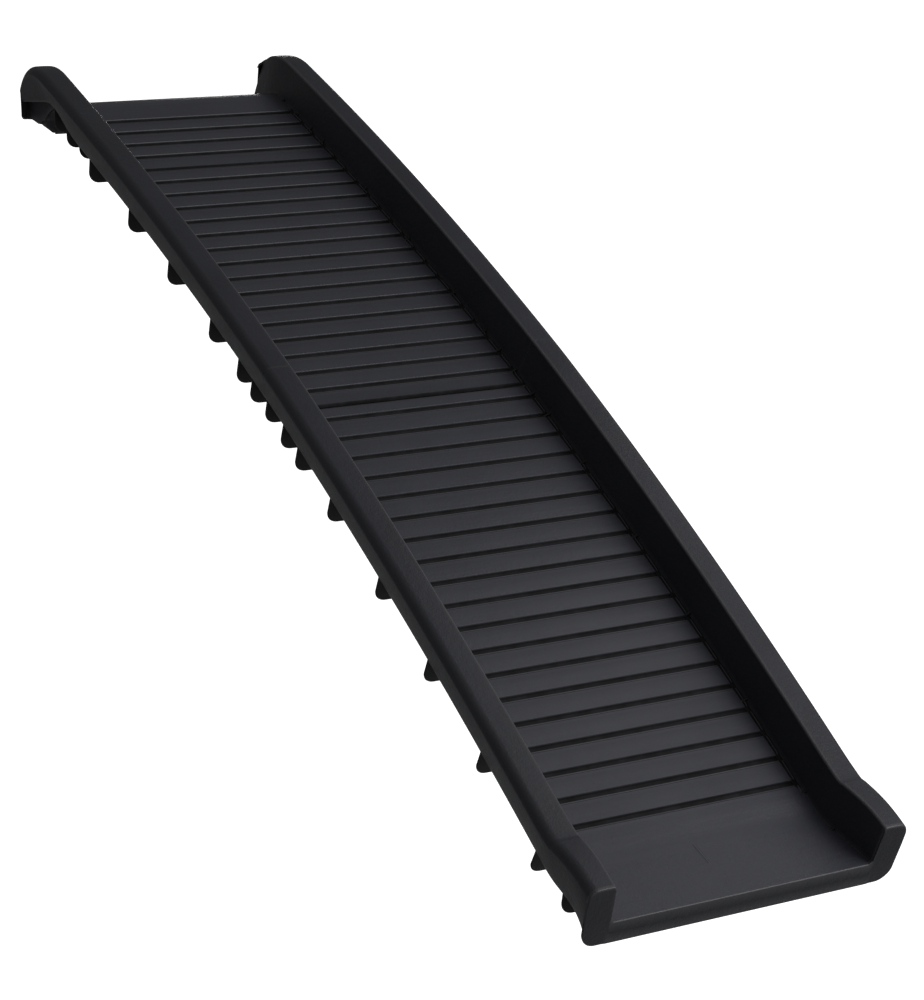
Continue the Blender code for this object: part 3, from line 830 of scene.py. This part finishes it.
@dataclass
class Moulding:
    """One half of the ramp: tread, rails, ribs, stringers, end wall and knuckles."""

    half: Half
    path: DeckPath
    section: TraySection
    palette: Palette
    slats: SlatPattern
    node: str
    slot: str = "body_plastic"
    deck_thickness: float = 0.0042
    rib_thickness: float = 0.003
    rib_corner: float = 0.0164
    rib_half_width: float = 0.1799
    rib_depth: float = 0.0420
    rib_growth: float = 0.0040
    rib_edge: float = 0.0013
    tab_y: float = 0.1595
    tab_fade: float = 0.003
    tab_spread: float = 0.020
    tab_rise: float = 0.0130
    stringer_ys: tuple[float, ...] = (-0.105, -0.035, 0.035, 0.105)
    stringer_depth: float = 0.020
    stringer_wall: float = 0.0025
    under_top: float = -0.0039
    slot_gap: float = 0.0045
    slot_round: float = 0.0012
    slot_shade: float = 0.0018
    slot_fade: float = 0.001
    under_grime: float = 0.65
    tuck: float = 0.0004
    mark_y: float = 0.010
    seam_steps: tuple[float, ...] = (0.0, 0.0008, 0.003)
    end_wall: float = 0.0040
    end_edge: float = 0.0020
    flat_share: float = 0.35
    knuckle_ys: tuple[float, ...] = (-0.118, -0.040, 0.040, 0.118)
    knuckle_width: float = 0.0230
    knuckle_gap: float = 0.0010
    knuckle_radius: float = 0.0080
    knuckle_bevel: float = 0.0006
    bore_radius: float = 0.0034
    web_heights: tuple[float, ...] = (0.0270, 0.0185, 0.0100)

    @property
    def slot_edge(self) -> float:
        """Station of this half's edge of the slot across the tread."""
        return self.slats.sign * self.slot_gap / 2

    def columns(self) -> np.ndarray:
        """Columns over the unit half width: close together at the slats' ends and at the mark."""
        half_width = self.section.deck_half_width
        middle = np.linspace(0.0, half_width - 0.009, 15)
        slat_end = np.linspace(8.4, 5.2, 9)
        ridge = np.linspace(4.8, 2.2, 12)
        edge = half_width - np.concatenate([slat_end, ridge, [1.4, 0.0]]) * 0.001
        near_mark = self.mark_y + np.array([-2.4, -1.2, -0.6, 0, 0.6, 1.2, 2.4]) * 0.001
        right = np.sort(np.concatenate([middle, near_mark, edge]))
        return np.concatenate([-right[:0:-1], right]) / half_width

    def slot_rounding(self, s: np.ndarray) -> np.ndarray:
        """Drop of the quarter circle that rounds the tread's edge at the slot, as a column."""
        near = np.clip(np.abs(s - self.slot_edge) / self.slot_round, 0, 1)
        return (self.slot_round * (1 - np.sqrt(1 - (1 - near) ** 2)))[:, None]

    def piece(self, name: str, material: bpy.types.Material, first: bool = False) -> Piece:
        """Names a piece of this half; the first one stands for the CAD node."""
        replaces = (self.node,) if first else ()
        return Piece(f"{self.half.value}_{name}", self.half.value, self.slot, material, replaces)

    def tread_mesh(self, line: np.ndarray, columns: np.ndarray, width: np.ndarray,
                   relief: np.ndarray, lift: np.ndarray | float = 0.0) -> Skin:
        """Slab along a side-view line, with relief on top and an even wall.

        Args:
            line: (rows, 2) side view (s, h).
            columns: distances across, over the unit half width.
            width: half width at each row.
            relief: (rows, columns) height added to the top.
            lift: height added to both faces.

        Returns:
            A closed skin.
        """
        s, h = line[:, :1], line[:, 1:]
        tangent = np.gradient(line, axis=0)
        tangent /= np.linalg.norm(tangent, axis=1)[:, None]
        if tangent[0, 0] < 0:
            tangent = -tangent
        y = columns[None] * width[:, None]
        h = h + lift
        top = self.path.place(s + 0 * y, y, h + relief)
        under = self.path.place(s + tangent[:, 1:] * self.deck_thickness + 0 * y, y,
                                h - tangent[:, :1] * self.deck_thickness + 0 * y)
        return shell(top, under)

    def both_faces(self, line: np.ndarray, columns: np.ndarray) -> np.ndarray:
        """Painted shade of the slab's vertices: the slats' on its top, dark rims along the slot, and an even
        share beneath.
        """
        grime = self.slats.grime(line[:, 0], columns * self.section.deck_half_width)
        # Painted shade along both rims of the hinge slot, and an even painted shade over the slab's
        # underside.
        from_slot = np.abs(np.abs(line[:, :1]) - self.slot_gap / 2)
        slot = 1 - smooth((from_slot - self.slot_shade) / self.slot_fade) + 0 * grime
        beneath = np.maximum(slot, self.under_grime)
        return np.concatenate([np.maximum(grime, slot).ravel(), beneath.ravel()])

    def rail_mesh(self, s: np.ndarray, side: Side, round_end: float) -> Skin:
        """Hollow rail: its outline carried along the path, and the same moved in by the wall.

        Args:
            s: stations.
            side: which rail.
            round_end: radius that the last stations are rounded by, towards +s.

        Returns:
            A closed skin.
        """
        outline = self.section.rail(s)
        normal = self.section.normals(outline)
        past = np.clip(s - (s.max() - round_end), 0.0, round_end * 0.98) if round_end else 0 * s
        inset = (round_end - np.sqrt(round_end**2 - past**2)) if round_end else 0 * s
        outer = outline - normal * inset[:, None, None]
        inner = outline - normal * (self.section.wall + inset[:, None, None] * 0.3)
        along = s[:, None]
        return shell(self.path.place(along, side.value * outer[..., 0], outer[..., 1]),
                     self.path.place(along, side.value * inner[..., 0], inner[..., 1]))

    def plate_mesh(self, s: float, top: np.ndarray, bottom: np.ndarray, thickness: float,
                   edge: float) -> Skin:
        """Plate square to the tread, ruled between two (y, h) curves, with rounded edges.

        Half its thickness falls to zero at the rim as a quarter circle does.

        Args:
            s: station of its middle.
            top: (points, 2) upper curve.
            bottom: (points, 2) lower curve, point for point.
            thickness: of the plate.
            edge: distance from the rim over which it is rounded.

        Returns:
            A closed skin.
        """
        height = np.linalg.norm(top - bottom, axis=1).mean()
        near = edge * np.array([0, 0.08, 0.3, 0.65, 1.0]) / height
        v = np.concatenate([near, [0.5], 1 - near[::-1]])
        grid = bottom[:, None] + (top - bottom)[:, None] * v[None, :, None]
        rim_v = np.minimum(v, 1 - v)[None] * height
        length = np.concatenate([[0], np.cumsum(np.linalg.norm(np.diff(bottom, axis=0), axis=1))])
        rim_u = np.minimum(length, length[-1] - length)[:, None]
        depth = np.minimum(np.clip(rim_v / edge, 0, 1), np.clip(rim_u / edge, 0, 1))
        half = thickness / 2 * np.sqrt(1 - (1 - depth) ** 2)
        angle = self.path.heading_at(s)
        middle = self.path.place(np.array(s), grid[..., 0], grid[..., 1])
        step = half[..., None] * np.array([math.cos(angle), 0.0, math.sin(angle)])
        return shell(middle + step, middle - step)

    def closing_wall(self, s: float, floor: float, bottom: float, reach: float, corner: float,
                     lift: float = 0.0, inset: float = 0.0) -> Skin:
        """Wall that closes the tray's end: its top follows the floor and the rails' outline.

        Args:
            s: station of its middle.
            floor: height of the tray's floor there.
            bottom: height of its lower edge.
            reach: half its width at the lower corners.
            corner: radius of the lower corners.
            lift: how much higher the floor and the lower edge are near the corners.
            inset: how far it stays inside the rails' outline.

        Returns:
            A closed skin.
        """
        outline = self.section.rail(np.array([s]))[0]
        outline = outline - inset * self.section.normals(outline)
        outline = outline[outline[:, 1] >= floor + lift - 0.0001]
        foot = outline[0, 0]
        inside = np.linspace(0.0, 1.0, 41)[:-1, None] * np.array([foot, 0.0])
        raised = inside * 0 + np.array([0.0, 1.0]) * lift * self.section.beside(inside[:, :1])
        right_top = np.concatenate([inside + raised + np.array([0.0, floor]), outline])
        t = np.linspace(0, 1, len(outline))
        flat = self.flat_share
        a = np.radians(np.clip((t - flat) / (1 - flat), 0, 1) * 90)
        y = np.where(t < flat, foot + t / flat * (reach - corner - foot),
                     reach - corner + corner * np.sin(a))
        below = np.stack([y, bottom + corner * (1 - np.cos(a))], 1)
        right_bottom = np.concatenate([inside + np.array([0.0, bottom]), below])
        right_bottom[:, 1] += lift * self.section.beside(right_bottom[:, 0])
        mirror = np.array([-1, 1])
        top = np.concatenate([right_top[:0:-1] * mirror, right_top])
        under = np.concatenate([right_bottom[:0:-1] * mirror, right_bottom])
        return self.plate_mesh(s, top, under, self.end_wall, self.end_edge)

    def rib_mesh(self, s: float, depth: float) -> Skin:
        """Cross rib with round lower corners, reaching up into both hollow rails."""
        corner, reach = self.rib_corner, self.rib_half_width
        a = np.radians(np.linspace(0, 90, 12))
        turned = reach - corner + corner * np.cos(a[::-1])[::-1]
        side = np.stack([turned, -depth + corner - corner * np.sin(a)], 1)
        flat_y = np.linspace(reach - corner, 0.0, 10)[1:]
        right = np.concatenate([side, np.stack([flat_y, np.full_like(flat_y, -depth)], 1)])
        bottom = np.concatenate([right * np.array([-1, 1]), right[-2::-1]])
        into_rail = smooth((np.abs(bottom[:, 0]) - self.tab_y) / self.tab_fade)
        top = np.stack([bottom[:, 0] * (1 + self.tab_spread * into_rail),
                        self.under_top + self.tab_rise * into_rail], 1)
        return self.plate_mesh(s, top, bottom, self.rib_thickness, self.rib_edge)

    def stringer_mesh(self, y: float, s_low: float, s_high: float) -> Skin:
        """Long thin wall under the deck: a rounded strip carried along the path."""
        half, depth = self.stringer_wall / 2, self.stringer_depth
        a = np.radians(np.linspace(180, 360, 7))
        lower = np.stack([y + half * np.cos(a), -depth + half + half * np.sin(a)], 1)
        ring = np.concatenate([[[y - half, self.under_top]], lower, [[y + half, self.under_top]]])
        s = np.linspace(s_low, s_high, 40)[:, None]
        return ring_tube(self.path.place(s, ring[None, :, 0], ring[None, :, 1]))

    def knuckle_mesh(self, axis: np.ndarray, side: int, low: float, high: float,
                     distance: float) -> Skin:
        """Hinge knuckle with its web and bore: a ring of outline and bore loops, joined up.

        Args:
            axis: point on the hinge axis.
            side: +1 where the web runs towards -x, -1 where it runs towards +x.
            low: lower y of the knuckle.
            high: upper y.
            distance: from the axis to the wall that carries the web.

        Returns:
            A closed skin with a hole through it.
        """
        radius, bevel = self.knuckle_radius, self.knuckle_bevel
        a = np.radians(np.linspace(-120, 60, 26))
        barrel = radius * np.stack([np.cos(a), np.sin(a)], 1)
        web = np.array([[-distance, height] for height in self.web_heights])
        outline = np.concatenate([barrel, web])
        angle = np.unwrap(np.arctan2(outline[:, 1], outline[:, 0]))
        hole = self.bore_radius * np.stack([np.cos(angle), np.sin(angle)], 1)
        shrunk = outline * (1 - bevel / radius)
        rings = [(shrunk, low), (outline, low + bevel), (outline, high - bevel), (shrunk, high),
                 (hole * 1.12, high), (hole, high - bevel / 2), (hole, low + bevel / 2), (hole * 1.12, low)]
        points = [np.stack([axis[0] + side * loop[:, 0], np.full(len(loop), y), axis[2] + loop[:, 1]], 1)
                  for loop, y in rings]
        return ring_tube(np.stack(points), closed=True)

    def knuckle_spans(self) -> list[tuple[float, float]]:
        """Y spans of this half's knuckles: each pair holds one of either half, side by side."""
        width, inwards = self.knuckle_width, -1 if self.half is Half.UPPER else 1
        offset = inwards * (width + self.knuckle_gap) / 2
        middles = [y + math.copysign(1.0, y) * offset for y in self.knuckle_ys]
        return [(y - width / 2, y + width / 2) for y in middles]

    def knuckles(self, wall_s: float) -> list[Skin]:
        """All of this half's knuckles, carried from the wall at wall_s."""
        axis = np.array(self.path.anchor)
        wall = self.path.place(np.array(wall_s), np.array(0.0), np.array(self.path.anchor_h))
        side = -1 if self.half is Half.UPPER else 1
        distance = abs(axis[0] - wall[0])
        return [self.knuckle_mesh(axis, side, low, high, distance) for low, high in self.knuckle_spans()]

    def depth_at(self, s: float) -> float:
        """Depth of the cross ribs at s."""
        return self.rib_depth - self.rib_growth * s

    def rail_pair(self, s: np.ndarray, round_end: float) -> None:
        """Both rails over the stations s, with their ends towards +s rounded."""
        for side in Side:
            self.piece(f"rail_{side.name.lower()}", self.palette.rail).make(
                [self.rail_mesh(s, side, round_end)])

    def hang_under(self, walls: list[Skin], low: float, high: float, wall_s: float) -> None:
        """Pieces under the tread: cross walls, stringers and the knuckles.

        Args:
            walls: ribs and the like.
            low: station where the stringers begin.
            high: station where they end.
            wall_s: station of the wall that carries the knuckles.
        """
        stringers = [self.stringer_mesh(y, low, high) for y in self.stringer_ys]
        for name, skins in (("ribs", walls), ("stringers", stringers), ("knuckles", self.knuckles(wall_s))):
            self.piece(name, self.palette.underside).make(skins)


@dataclass
class UpperHalf(Moulding):
    """The half with the landing end."""

    ribs: tuple[float, ...] = (0.0695, 0.1090, 0.1920, 0.3190, 0.4440, 0.5730)
    end_ribs: tuple[tuple[float, float], ...] = ((0.6105, 0.0250), (0.6520, 0.0300), (0.6945, 0.0290))
    hinge_wall: tuple[float, float] = (0.0275, 0.0391)
    seam_s: float = 0.0244
    tongue_gap: float = 0.0006
    lip_bottom: float = -0.0753
    lip_reach: float = 0.1790
    lip_corner: float = 0.0050
    lip_inset: float = 0.0016
    nose_round: float = 0.004
    crest_turn: float = math.radians(37)
    crest_spread: float = math.radians(4)
    crest_wear: float = 0.8
    crest_fade: float = 0.3

    def tread(self) -> None:
        """Slats from the slot to the crest, then the roll-over and the lip in one slab."""
        plain = self.slats.stations(self.slot_edge, self.section.roll_start - 0.001)
        roll = self.section.roll()
        line = np.concatenate([np.stack([plain, 0 * plain], 1), roll])
        columns = self.columns()
        across = columns * self.section.deck_half_width
        width = self.section.deck_half_width + self.tuck
        width = width + self.section.taper_in * self.section.taper(line[:, 0])
        width = width - (self.tongue_gap + self.tuck) * (line[:, 0] < self.seam_s)
        relief = np.zeros((len(line), len(columns)))
        relief[: len(plain)] = self.slats.relief(plain, across)
        relief -= self.slot_rounding(line[:, 0])
        lift = self.section.beside(across)[None] * self.section.lifted(line[:, 1:])
        skin = self.tread_mesh(line, columns, width, relief, lift)
        # Painted highlight: a lighter band along the roll-over's crest, where it would catch the light.
        turn = np.clip((line[:, 0] - self.section.roll_start) / self.section.roll_radius, 0, 1)
        crest = bell((np.arcsin(turn) - self.crest_turn) / self.crest_spread)
        extra_highlight = self.crest_wear * crest[:, None] * smooth((1 - np.abs(columns)) / self.crest_fade)[None]
        self.piece("tread", self.palette.tread, first=True).make(
            [skin], np.tile(extra_highlight.ravel(), 2), self.both_faces(line, columns))

    def rails(self) -> None:
        """Both rails, from the seam to the rounded nose."""
        length = self.section.upper_length - 0.0004
        s = np.concatenate([self.seam_s + np.array(self.seam_steps),
                            np.linspace(0.04, 0.70, 40), np.linspace(0.703, length - 0.006, 44),
                            length - self.nose_round * np.cos(np.linspace(0, np.pi / 2, 9))])
        self.rail_pair(s, self.nose_round)

    def landing_wall(self) -> None:
        """Plate that closes the noses and the space under the lip."""
        middle = self.section.upper_length - self.end_wall / 2 - 0.0002
        # The landing wall takes the darker underside finish: painted shade under the nose.
        self.piece("landing_wall", self.palette.underside).make(
            [self.closing_wall(middle, self.section.lip_height, self.lip_bottom,
                               self.lip_reach, self.lip_corner, self.section.lip_lift,
                               self.lip_inset)])

    def underside(self) -> None:
        """Hinge wall, ribs, stringers and knuckles."""
        walls = [self.rib_mesh(s, self.depth_at(s)) for s in self.ribs]
        walls += [self.rib_mesh(s, depth) for s, depth in self.end_ribs]
        walls.append(self.rib_mesh(*self.hinge_wall))
        self.hang_under(walls, self.hinge_wall[0], self.end_ribs[-1][0], self.hinge_wall[0])

    def build(self) -> None:
        """Makes every piece of this half."""
        self.tread()
        self.rails()
        self.landing_wall()
        self.underside()


@dataclass
class LowerHalf(Moulding):
    """The half with the bent-up toe."""

    ribs: tuple[float, ...] = (-0.0185, -0.0590, -0.1485, -0.2780, -0.4045, -0.5365, -0.6690)
    toe_rib: tuple[float, float] = (-0.7260, 0.0370)
    seam_s: float = 0.0235
    front_depth: float = 0.0280
    front_corner: float = 0.0185
    front_s: float = -0.7858
    mark_span: tuple[float, float] = (-0.738, -0.702)
    mark_height: float = 0.0003
    mark_width: float = 0.0009
    mark_fade: float = 0.004

    def toe_mark(self, s: np.ndarray, y: np.ndarray) -> np.ndarray:
        """Short fine line that the mould leaves on the toe, along the ramp."""
        low, high = self.mark_span
        along = smooth((s - low) / self.mark_fade) * smooth((high - s) / self.mark_fade)
        return self.mark_height * along[:, None] * bell((y[None] - self.mark_y) / self.mark_width)

    def tread(self) -> None:
        """Slats from the slot down, then the smooth bent-up toe, in one slab."""
        low, section = self.front_s, self.section
        s = self.slats.stations(low, self.slot_edge)
        s = np.unique(np.concatenate([s, np.linspace(low, -0.685, 60)]))
        line = np.stack([s, 0 * s], 1)
        columns = self.columns()
        across = columns * section.deck_half_width
        relief = self.slats.relief(s, across) + self.toe_mark(s, across) - self.slot_rounding(s)
        width = section.floor_half_width(s) + self.tuck
        self.piece("tread", self.palette.tread, first=True).make(
            [self.tread_mesh(line, columns, width, relief)], None, self.both_faces(line, columns))

    def rails(self) -> None:
        """Both rails, from the front wall to the seam beside the upper half's tongue."""
        low = self.front_s
        s = np.concatenate([np.linspace(low, -0.685, 34), np.linspace(-0.67, 0.012, 44),
                            self.seam_s - np.array(self.seam_steps[::-1])])
        self.rail_pair(s, 0.0)

    def front_wall(self) -> None:
        """Wall across the toe: it covers the rails' ends and has round lower corners."""
        self.piece("front_wall", self.palette.rail).make(
            [self.closing_wall(self.front_s, 0.0, -self.front_depth,
                               self.section.front_half_width, self.front_corner)])

    def underside(self) -> None:
        """Ribs, stringers and knuckles."""
        walls = [self.rib_mesh(s, self.depth_at(s)) for s in self.ribs]
        walls.append(self.rib_mesh(*self.toe_rib))
        self.hang_under(walls, self.ribs[-1], self.ribs[0], self.ribs[0])

    def build(self) -> None:
        """Makes every piece of this half."""
        self.tread()
        self.rails()
        self.front_wall()
        self.underside()


# ---------------------------------------------------------------- hinge hardware and rubber


@dataclass
class HingeHardware:
    """The rod through the knuckles and its two push-on caps."""

    palette: Palette
    cap_nodes: tuple[str, str] = ("hinge_cap_left", "hinge_cap_right")
    profile: tuple[tuple[float, float], ...] = (
        (0.35, 0.62), (0.0, 0.62), (0.0, 0.92), (0.06, 1.0), (0.62, 1.0),
        (0.80, 0.93), (0.92, 0.74), (0.985, 0.40), (1.0, 0.05), (0.35, 0.05))

    def cap(self, node: str) -> None:
        """Domed cap: its profile, in shares of length and radius, carried round the rod's axis."""
        low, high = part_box(node)
        centre, radius = (low + high) / 2, (high.z - low.z) / 2
        outward_side = 1 if centre.y > 0 else -1
        mouth = low.y if outward_side > 0 else high.y
        along, around = (np.array(self.profile) * [high.y - low.y, radius]).T
        turn = np.linspace(0, 2 * np.pi, 49)[:-1]
        rings = np.stack([centre.x + around[:, None] * np.cos(turn)[None],
                          np.repeat(mouth + outward_side * along[:, None], len(turn), 1),
                          centre.z + around[:, None] * np.sin(turn)[None]], -1)
        Piece(node.replace("hinge_cap", "rod_cap"), Half.LOWER.value, "cap_plastic",
              self.palette.cap, (node,), 50.0).make([ring_tube(rings, closed=True)])

    def build(self) -> None:
        """Dresses the rod and makes both caps."""
        rod = frame["nodes"]["hinge_rod"]
        rod.data.materials.clear()
        rod.data.materials.append(self.palette.steel)
        for node in self.cap_nodes:
            self.cap(node)


@dataclass
class RubberParts:
    """Anti-slip feet on the last rib, and the strip under the landing lip."""

    palette: Palette
    path: DeckPath
    section: TraySection
    rib_s: float
    rib_depth: float
    clearance: float = 0.0003
    sole: float = 0.0028
    leg_inner: float = 0.0018
    leg_outer: float = 0.0042
    leg_height: float = 0.0085
    sole_edge: float = 0.0008
    top_edge: float = 0.0006
    mouth_edge: float = 0.0005
    seat_edge: float = 0.0004
    groove_depth: float = 0.0006
    groove_count: int = 9
    pad_s: float = 0.7905
    pad_half: float = 0.008
    pad_thickness: float = 0.005
    pad_edge: float = 0.0015
    pad_ridge: float = 0.0005
    lip_wall: float = 0.003

    def foot(self, node: str) -> None:
        """Channel over a rib's edge: a U outline carried across the ramp, with round ends."""
        low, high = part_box(node)
        seat = -self.rib_depth - self.clearance
        bottom, top = seat - self.sole, seat + self.leg_height
        inner, outer, edge = self.leg_inner, self.leg_outer, self.sole_edge
        rim, mouth, fillet = self.top_edge, self.mouth_edge, self.seat_edge
        right = [[outer - edge, bottom], [outer, bottom + edge], [outer, top - rim], [outer - rim, top],
                 [inner + mouth, top], [inner, top - mouth], [inner, seat + fillet]]
        left = [[-x, h] for x, h in right[::-1]]
        u = np.array([left[-1], [0, bottom], *right, [0, seat], *left[:-1]])
        y = np.linspace(low.y, high.y, 57)
        tread = self.groove_depth * (np.cos(np.linspace(0, 2 * np.pi * self.groove_count, 57)) < -0.2)
        ends = np.minimum(y - low.y, high.y - y)
        slim = 1 - edge / outer * (1 - smooth(ends / (1.5 * edge)))
        x = u[None, :, 0] * slim[:, None]
        h = u[None, :, 1] + tread[:, None] * (u[None, :, 1] < bottom + fillet)
        origin = self.path.place(np.array(self.rib_s), np.array(0.0), np.array(0.0))
        angle = self.path.heading_at(self.rib_s)
        rings = np.stack([origin[0] + x * math.cos(angle) - h * math.sin(angle),
                          np.repeat(y[:, None], len(u), 1),
                          origin[2] + x * math.sin(angle) + h * math.cos(angle)], -1)
        Piece(node.replace("foot", "rubber_foot"), Half.LOWER.value, "foot_rubber",
              self.palette.rubber, (node,), 40.0).make([self.capped(rings)])

    @staticmethod
    def capped(rings: np.ndarray) -> Skin:
        """A U-shaped tube with its ends closed by quads between its outside and its inside."""
        count, around = rings.shape[:2]
        index = np.arange(count * around).reshape(count, around)
        faces = [loop_faces(index)]
        pairs = [(0, 1, 9, 10), (1, 2, 8, 9), (2, 3, 8, 8), (3, 4, 7, 8), (4, 5, 6, 7),
                 (15, 0, 10, 10), (14, 15, 10, 11), (13, 14, 11, 12)]
        ends = np.array(pairs)
        faces.append(index[0][ends])
        faces.append(index[-1][ends[:, [1, 0, 3, 2]]])
        return rings.reshape(-1, 3), np.concatenate(faces)

    def pad(self) -> None:
        """Strip with shallow ridges along it, rounded at its edges."""
        low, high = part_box("landing_pad")
        half, rim = self.pad_half, self.pad_edge
        s = np.linspace(-half, half, 33)
        ridge = self.pad_ridge * (1 - np.abs(np.cos(s / half * np.pi * 2.5)))
        edge = rim * (1 - np.sqrt(1 - np.clip((np.abs(s) - half + rim) / rim, 0, 1) ** 2))
        y = np.linspace(low.y, high.y, 41)
        top = self.section.lip_height - self.lip_wall - self.clearance
        under = np.repeat((top - self.pad_thickness + np.maximum(ridge, edge))[:, None], len(y), 1)
        over = np.full_like(under, top)
        along = self.pad_s + s[:, None]
        skin = shell(self.path.place(along, y[None], over), self.path.place(along, y[None], under))
        Piece("landing_strip", Half.UPPER.value, "foot_rubber", self.palette.rubber,
              ("landing_pad",), 40.0).make([skin])

    def build(self) -> None:
        """Makes the feet and the strip."""
        self.foot("foot_left")
        self.foot("foot_right")
        self.pad()


# ---------------------------------------------------------------- studio


@dataclass
class Studio:
    """White surroundings, soft boxes, a pale floor and the camera."""

    target: tuple[float, float, float] = (-0.0941, -0.0449, 0.0132)
    azimuth: float = -127.569
    elevation: float = 35.286
    distance: float = 3.4670
    roll: float = 16.292
    lens: float = 104.74
    sensor: float = 36.0
    floor_height: float = -0.9
    ambient: float = 0.19

    def world(self) -> None:
        """White to look at, and a dimmer even light on the ramp."""
        world = bpy.data.worlds.new("studio")
        bpy.context.scene.world = world
        world.use_nodes = True
        tree = world.node_tree
        tree.nodes.clear()
        seen = add_node(tree, "Background", {"Color": (1.0, 1.0, 1.0, 1.0)}).outputs[0]
        inputs = {"Color": (0.97, 0.98, 1.0, 1.0), "Strength": self.ambient}
        lighting = add_node(tree, "Background", inputs).outputs[0]
        camera_ray = add_node(tree, "LightPath").outputs["Is Camera Ray"]
        mix = add_node(tree, "MixShader", {0: camera_ray, 1: lighting, 2: seen}).outputs[0]
        add_node(tree, "OutputWorld", {0: mix})

    def floor(self) -> None:
        """Pale sheet well below the ramp, clear of the folded half, and see-through from beneath."""
        mesh = bpy.data.meshes.new("floor")
        reach, z = 15.0, self.floor_height
        mesh.from_pydata([(-reach, -reach, z), (reach, -reach, z), (reach, reach, z), (-reach, reach, z)],
                         [], [(0, 1, 2, 3)])
        floor = bpy.data.objects.new("floor", mesh)
        material = bpy.data.materials.new("pale floor")
        material.use_nodes = True
        tree = material.node_tree
        shader, out = tree.nodes["Principled BSDF"], tree.nodes["Material Output"]
        feed(tree, shader, {"Base Color": (0.55, 0.55, 0.55, 1.0), "Roughness": 0.9,
                            "Emission Color": (1.0, 1.0, 1.0, 1.0),
                            "Emission Strength": add_node(tree, "LightPath").outputs["Is Camera Ray"]})
        clear = add_node(tree, "BsdfTransparent").outputs[0]
        beneath = add_node(tree, "NewGeometry").outputs["Backfacing"]
        mix = add_node(tree, "MixShader", {0: beneath, 1: shader.outputs[0], 2: clear}).outputs[0]
        feed(tree, out, {"Surface": mix})
        mesh.materials.append(material)
        bpy.context.scene.collection.objects.link(floor)

    def soft_box(self, name: str, direction: tuple[float, float, float], distance: float,
                 size: tuple[float, float], power: float) -> None:
        """Rectangular light facing the middle of the ramp.

        Args:
            name: of the light.
            direction: from the ramp to the light.
            distance: of the light, in metres.
            size: its width and height.
            power: in watts.
        """
        data = bpy.data.lights.new(name, "AREA")
        data.shape, data.size, data.size_y, data.energy = "RECTANGLE", *size, power
        light = bpy.data.objects.new(name, data)
        away = Vector(direction).normalized()
        light.location = away * distance
        light.rotation_euler = away.to_track_quat("Z", "Y").to_euler()
        light.visible_camera = False
        bpy.context.scene.collection.objects.link(light)

    def camera(self) -> None:
        """Camera aimed at its target, turned about its own axis by the roll."""
        azimuth, elevation = math.radians(self.azimuth), math.radians(self.elevation)
        back = Vector((math.sin(azimuth) * math.cos(elevation),
                       -math.cos(azimuth) * math.cos(elevation), math.sin(elevation)))
        data = bpy.data.cameras.new("camera")
        data.lens, data.sensor_width = self.lens, self.sensor
        camera = bpy.data.objects.new("camera", data)
        aim = (-back).to_track_quat("-Z", "Y").to_matrix().to_4x4()
        turn = Matrix.Rotation(math.radians(self.roll), 4, "Z")
        camera.matrix_world = Matrix.Translation(Vector(self.target) + back * self.distance) @ aim @ turn
        bpy.context.scene.collection.objects.link(camera)
        bpy.context.scene.camera = camera

    def build(self) -> None:
        """Sets up the surroundings and the camera."""
        bpy.context.scene.view_settings.view_transform = "Standard"
        self.world()
        self.floor()
        self.soft_box("key", (-0.50, -0.50, 0.75), 2.6, (1.6, 1.6), 44.0)
        self.soft_box("sheen", (0.22, -0.63, 0.74), 1.35, (0.25, 1.1), 1.4)
        self.soft_box("rim", (0.88, -0.42, -0.22), 2.5, (0.5, 0.5), 5.0)
        self.camera()


def main() -> None:
    """Builds the studio and each sub-assembly in order."""
    logging.basicConfig(level=logging.INFO, format="%(name)s: %(message)s")
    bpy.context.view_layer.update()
    hinge = next(joint for joint in frame["joints"] if joint["name"] == "fold_hinge")
    section, palette = TraySection(), Palette()
    path = DeckPath(tuple(hinge["pos_m"]), section.toe_s)
    upper = UpperHalf(Half.UPPER, path, section, palette, SlatPattern(0.0314, 0.0332, 20, 1), "upper_half")
    lower = LowerHalf(Half.LOWER, path, section, palette, SlatPattern(0.0230, 0.03506, 19, -1), "lower_half")
    foot_s = lower.ribs[-1]
    rubber = RubberParts(palette, path, section, foot_s, lower.depth_at(foot_s))
    for assembly in (Studio(), upper, lower, HingeHardware(palette), rubber):
        assembly.build()


if __name__ == "__main__":
    main()
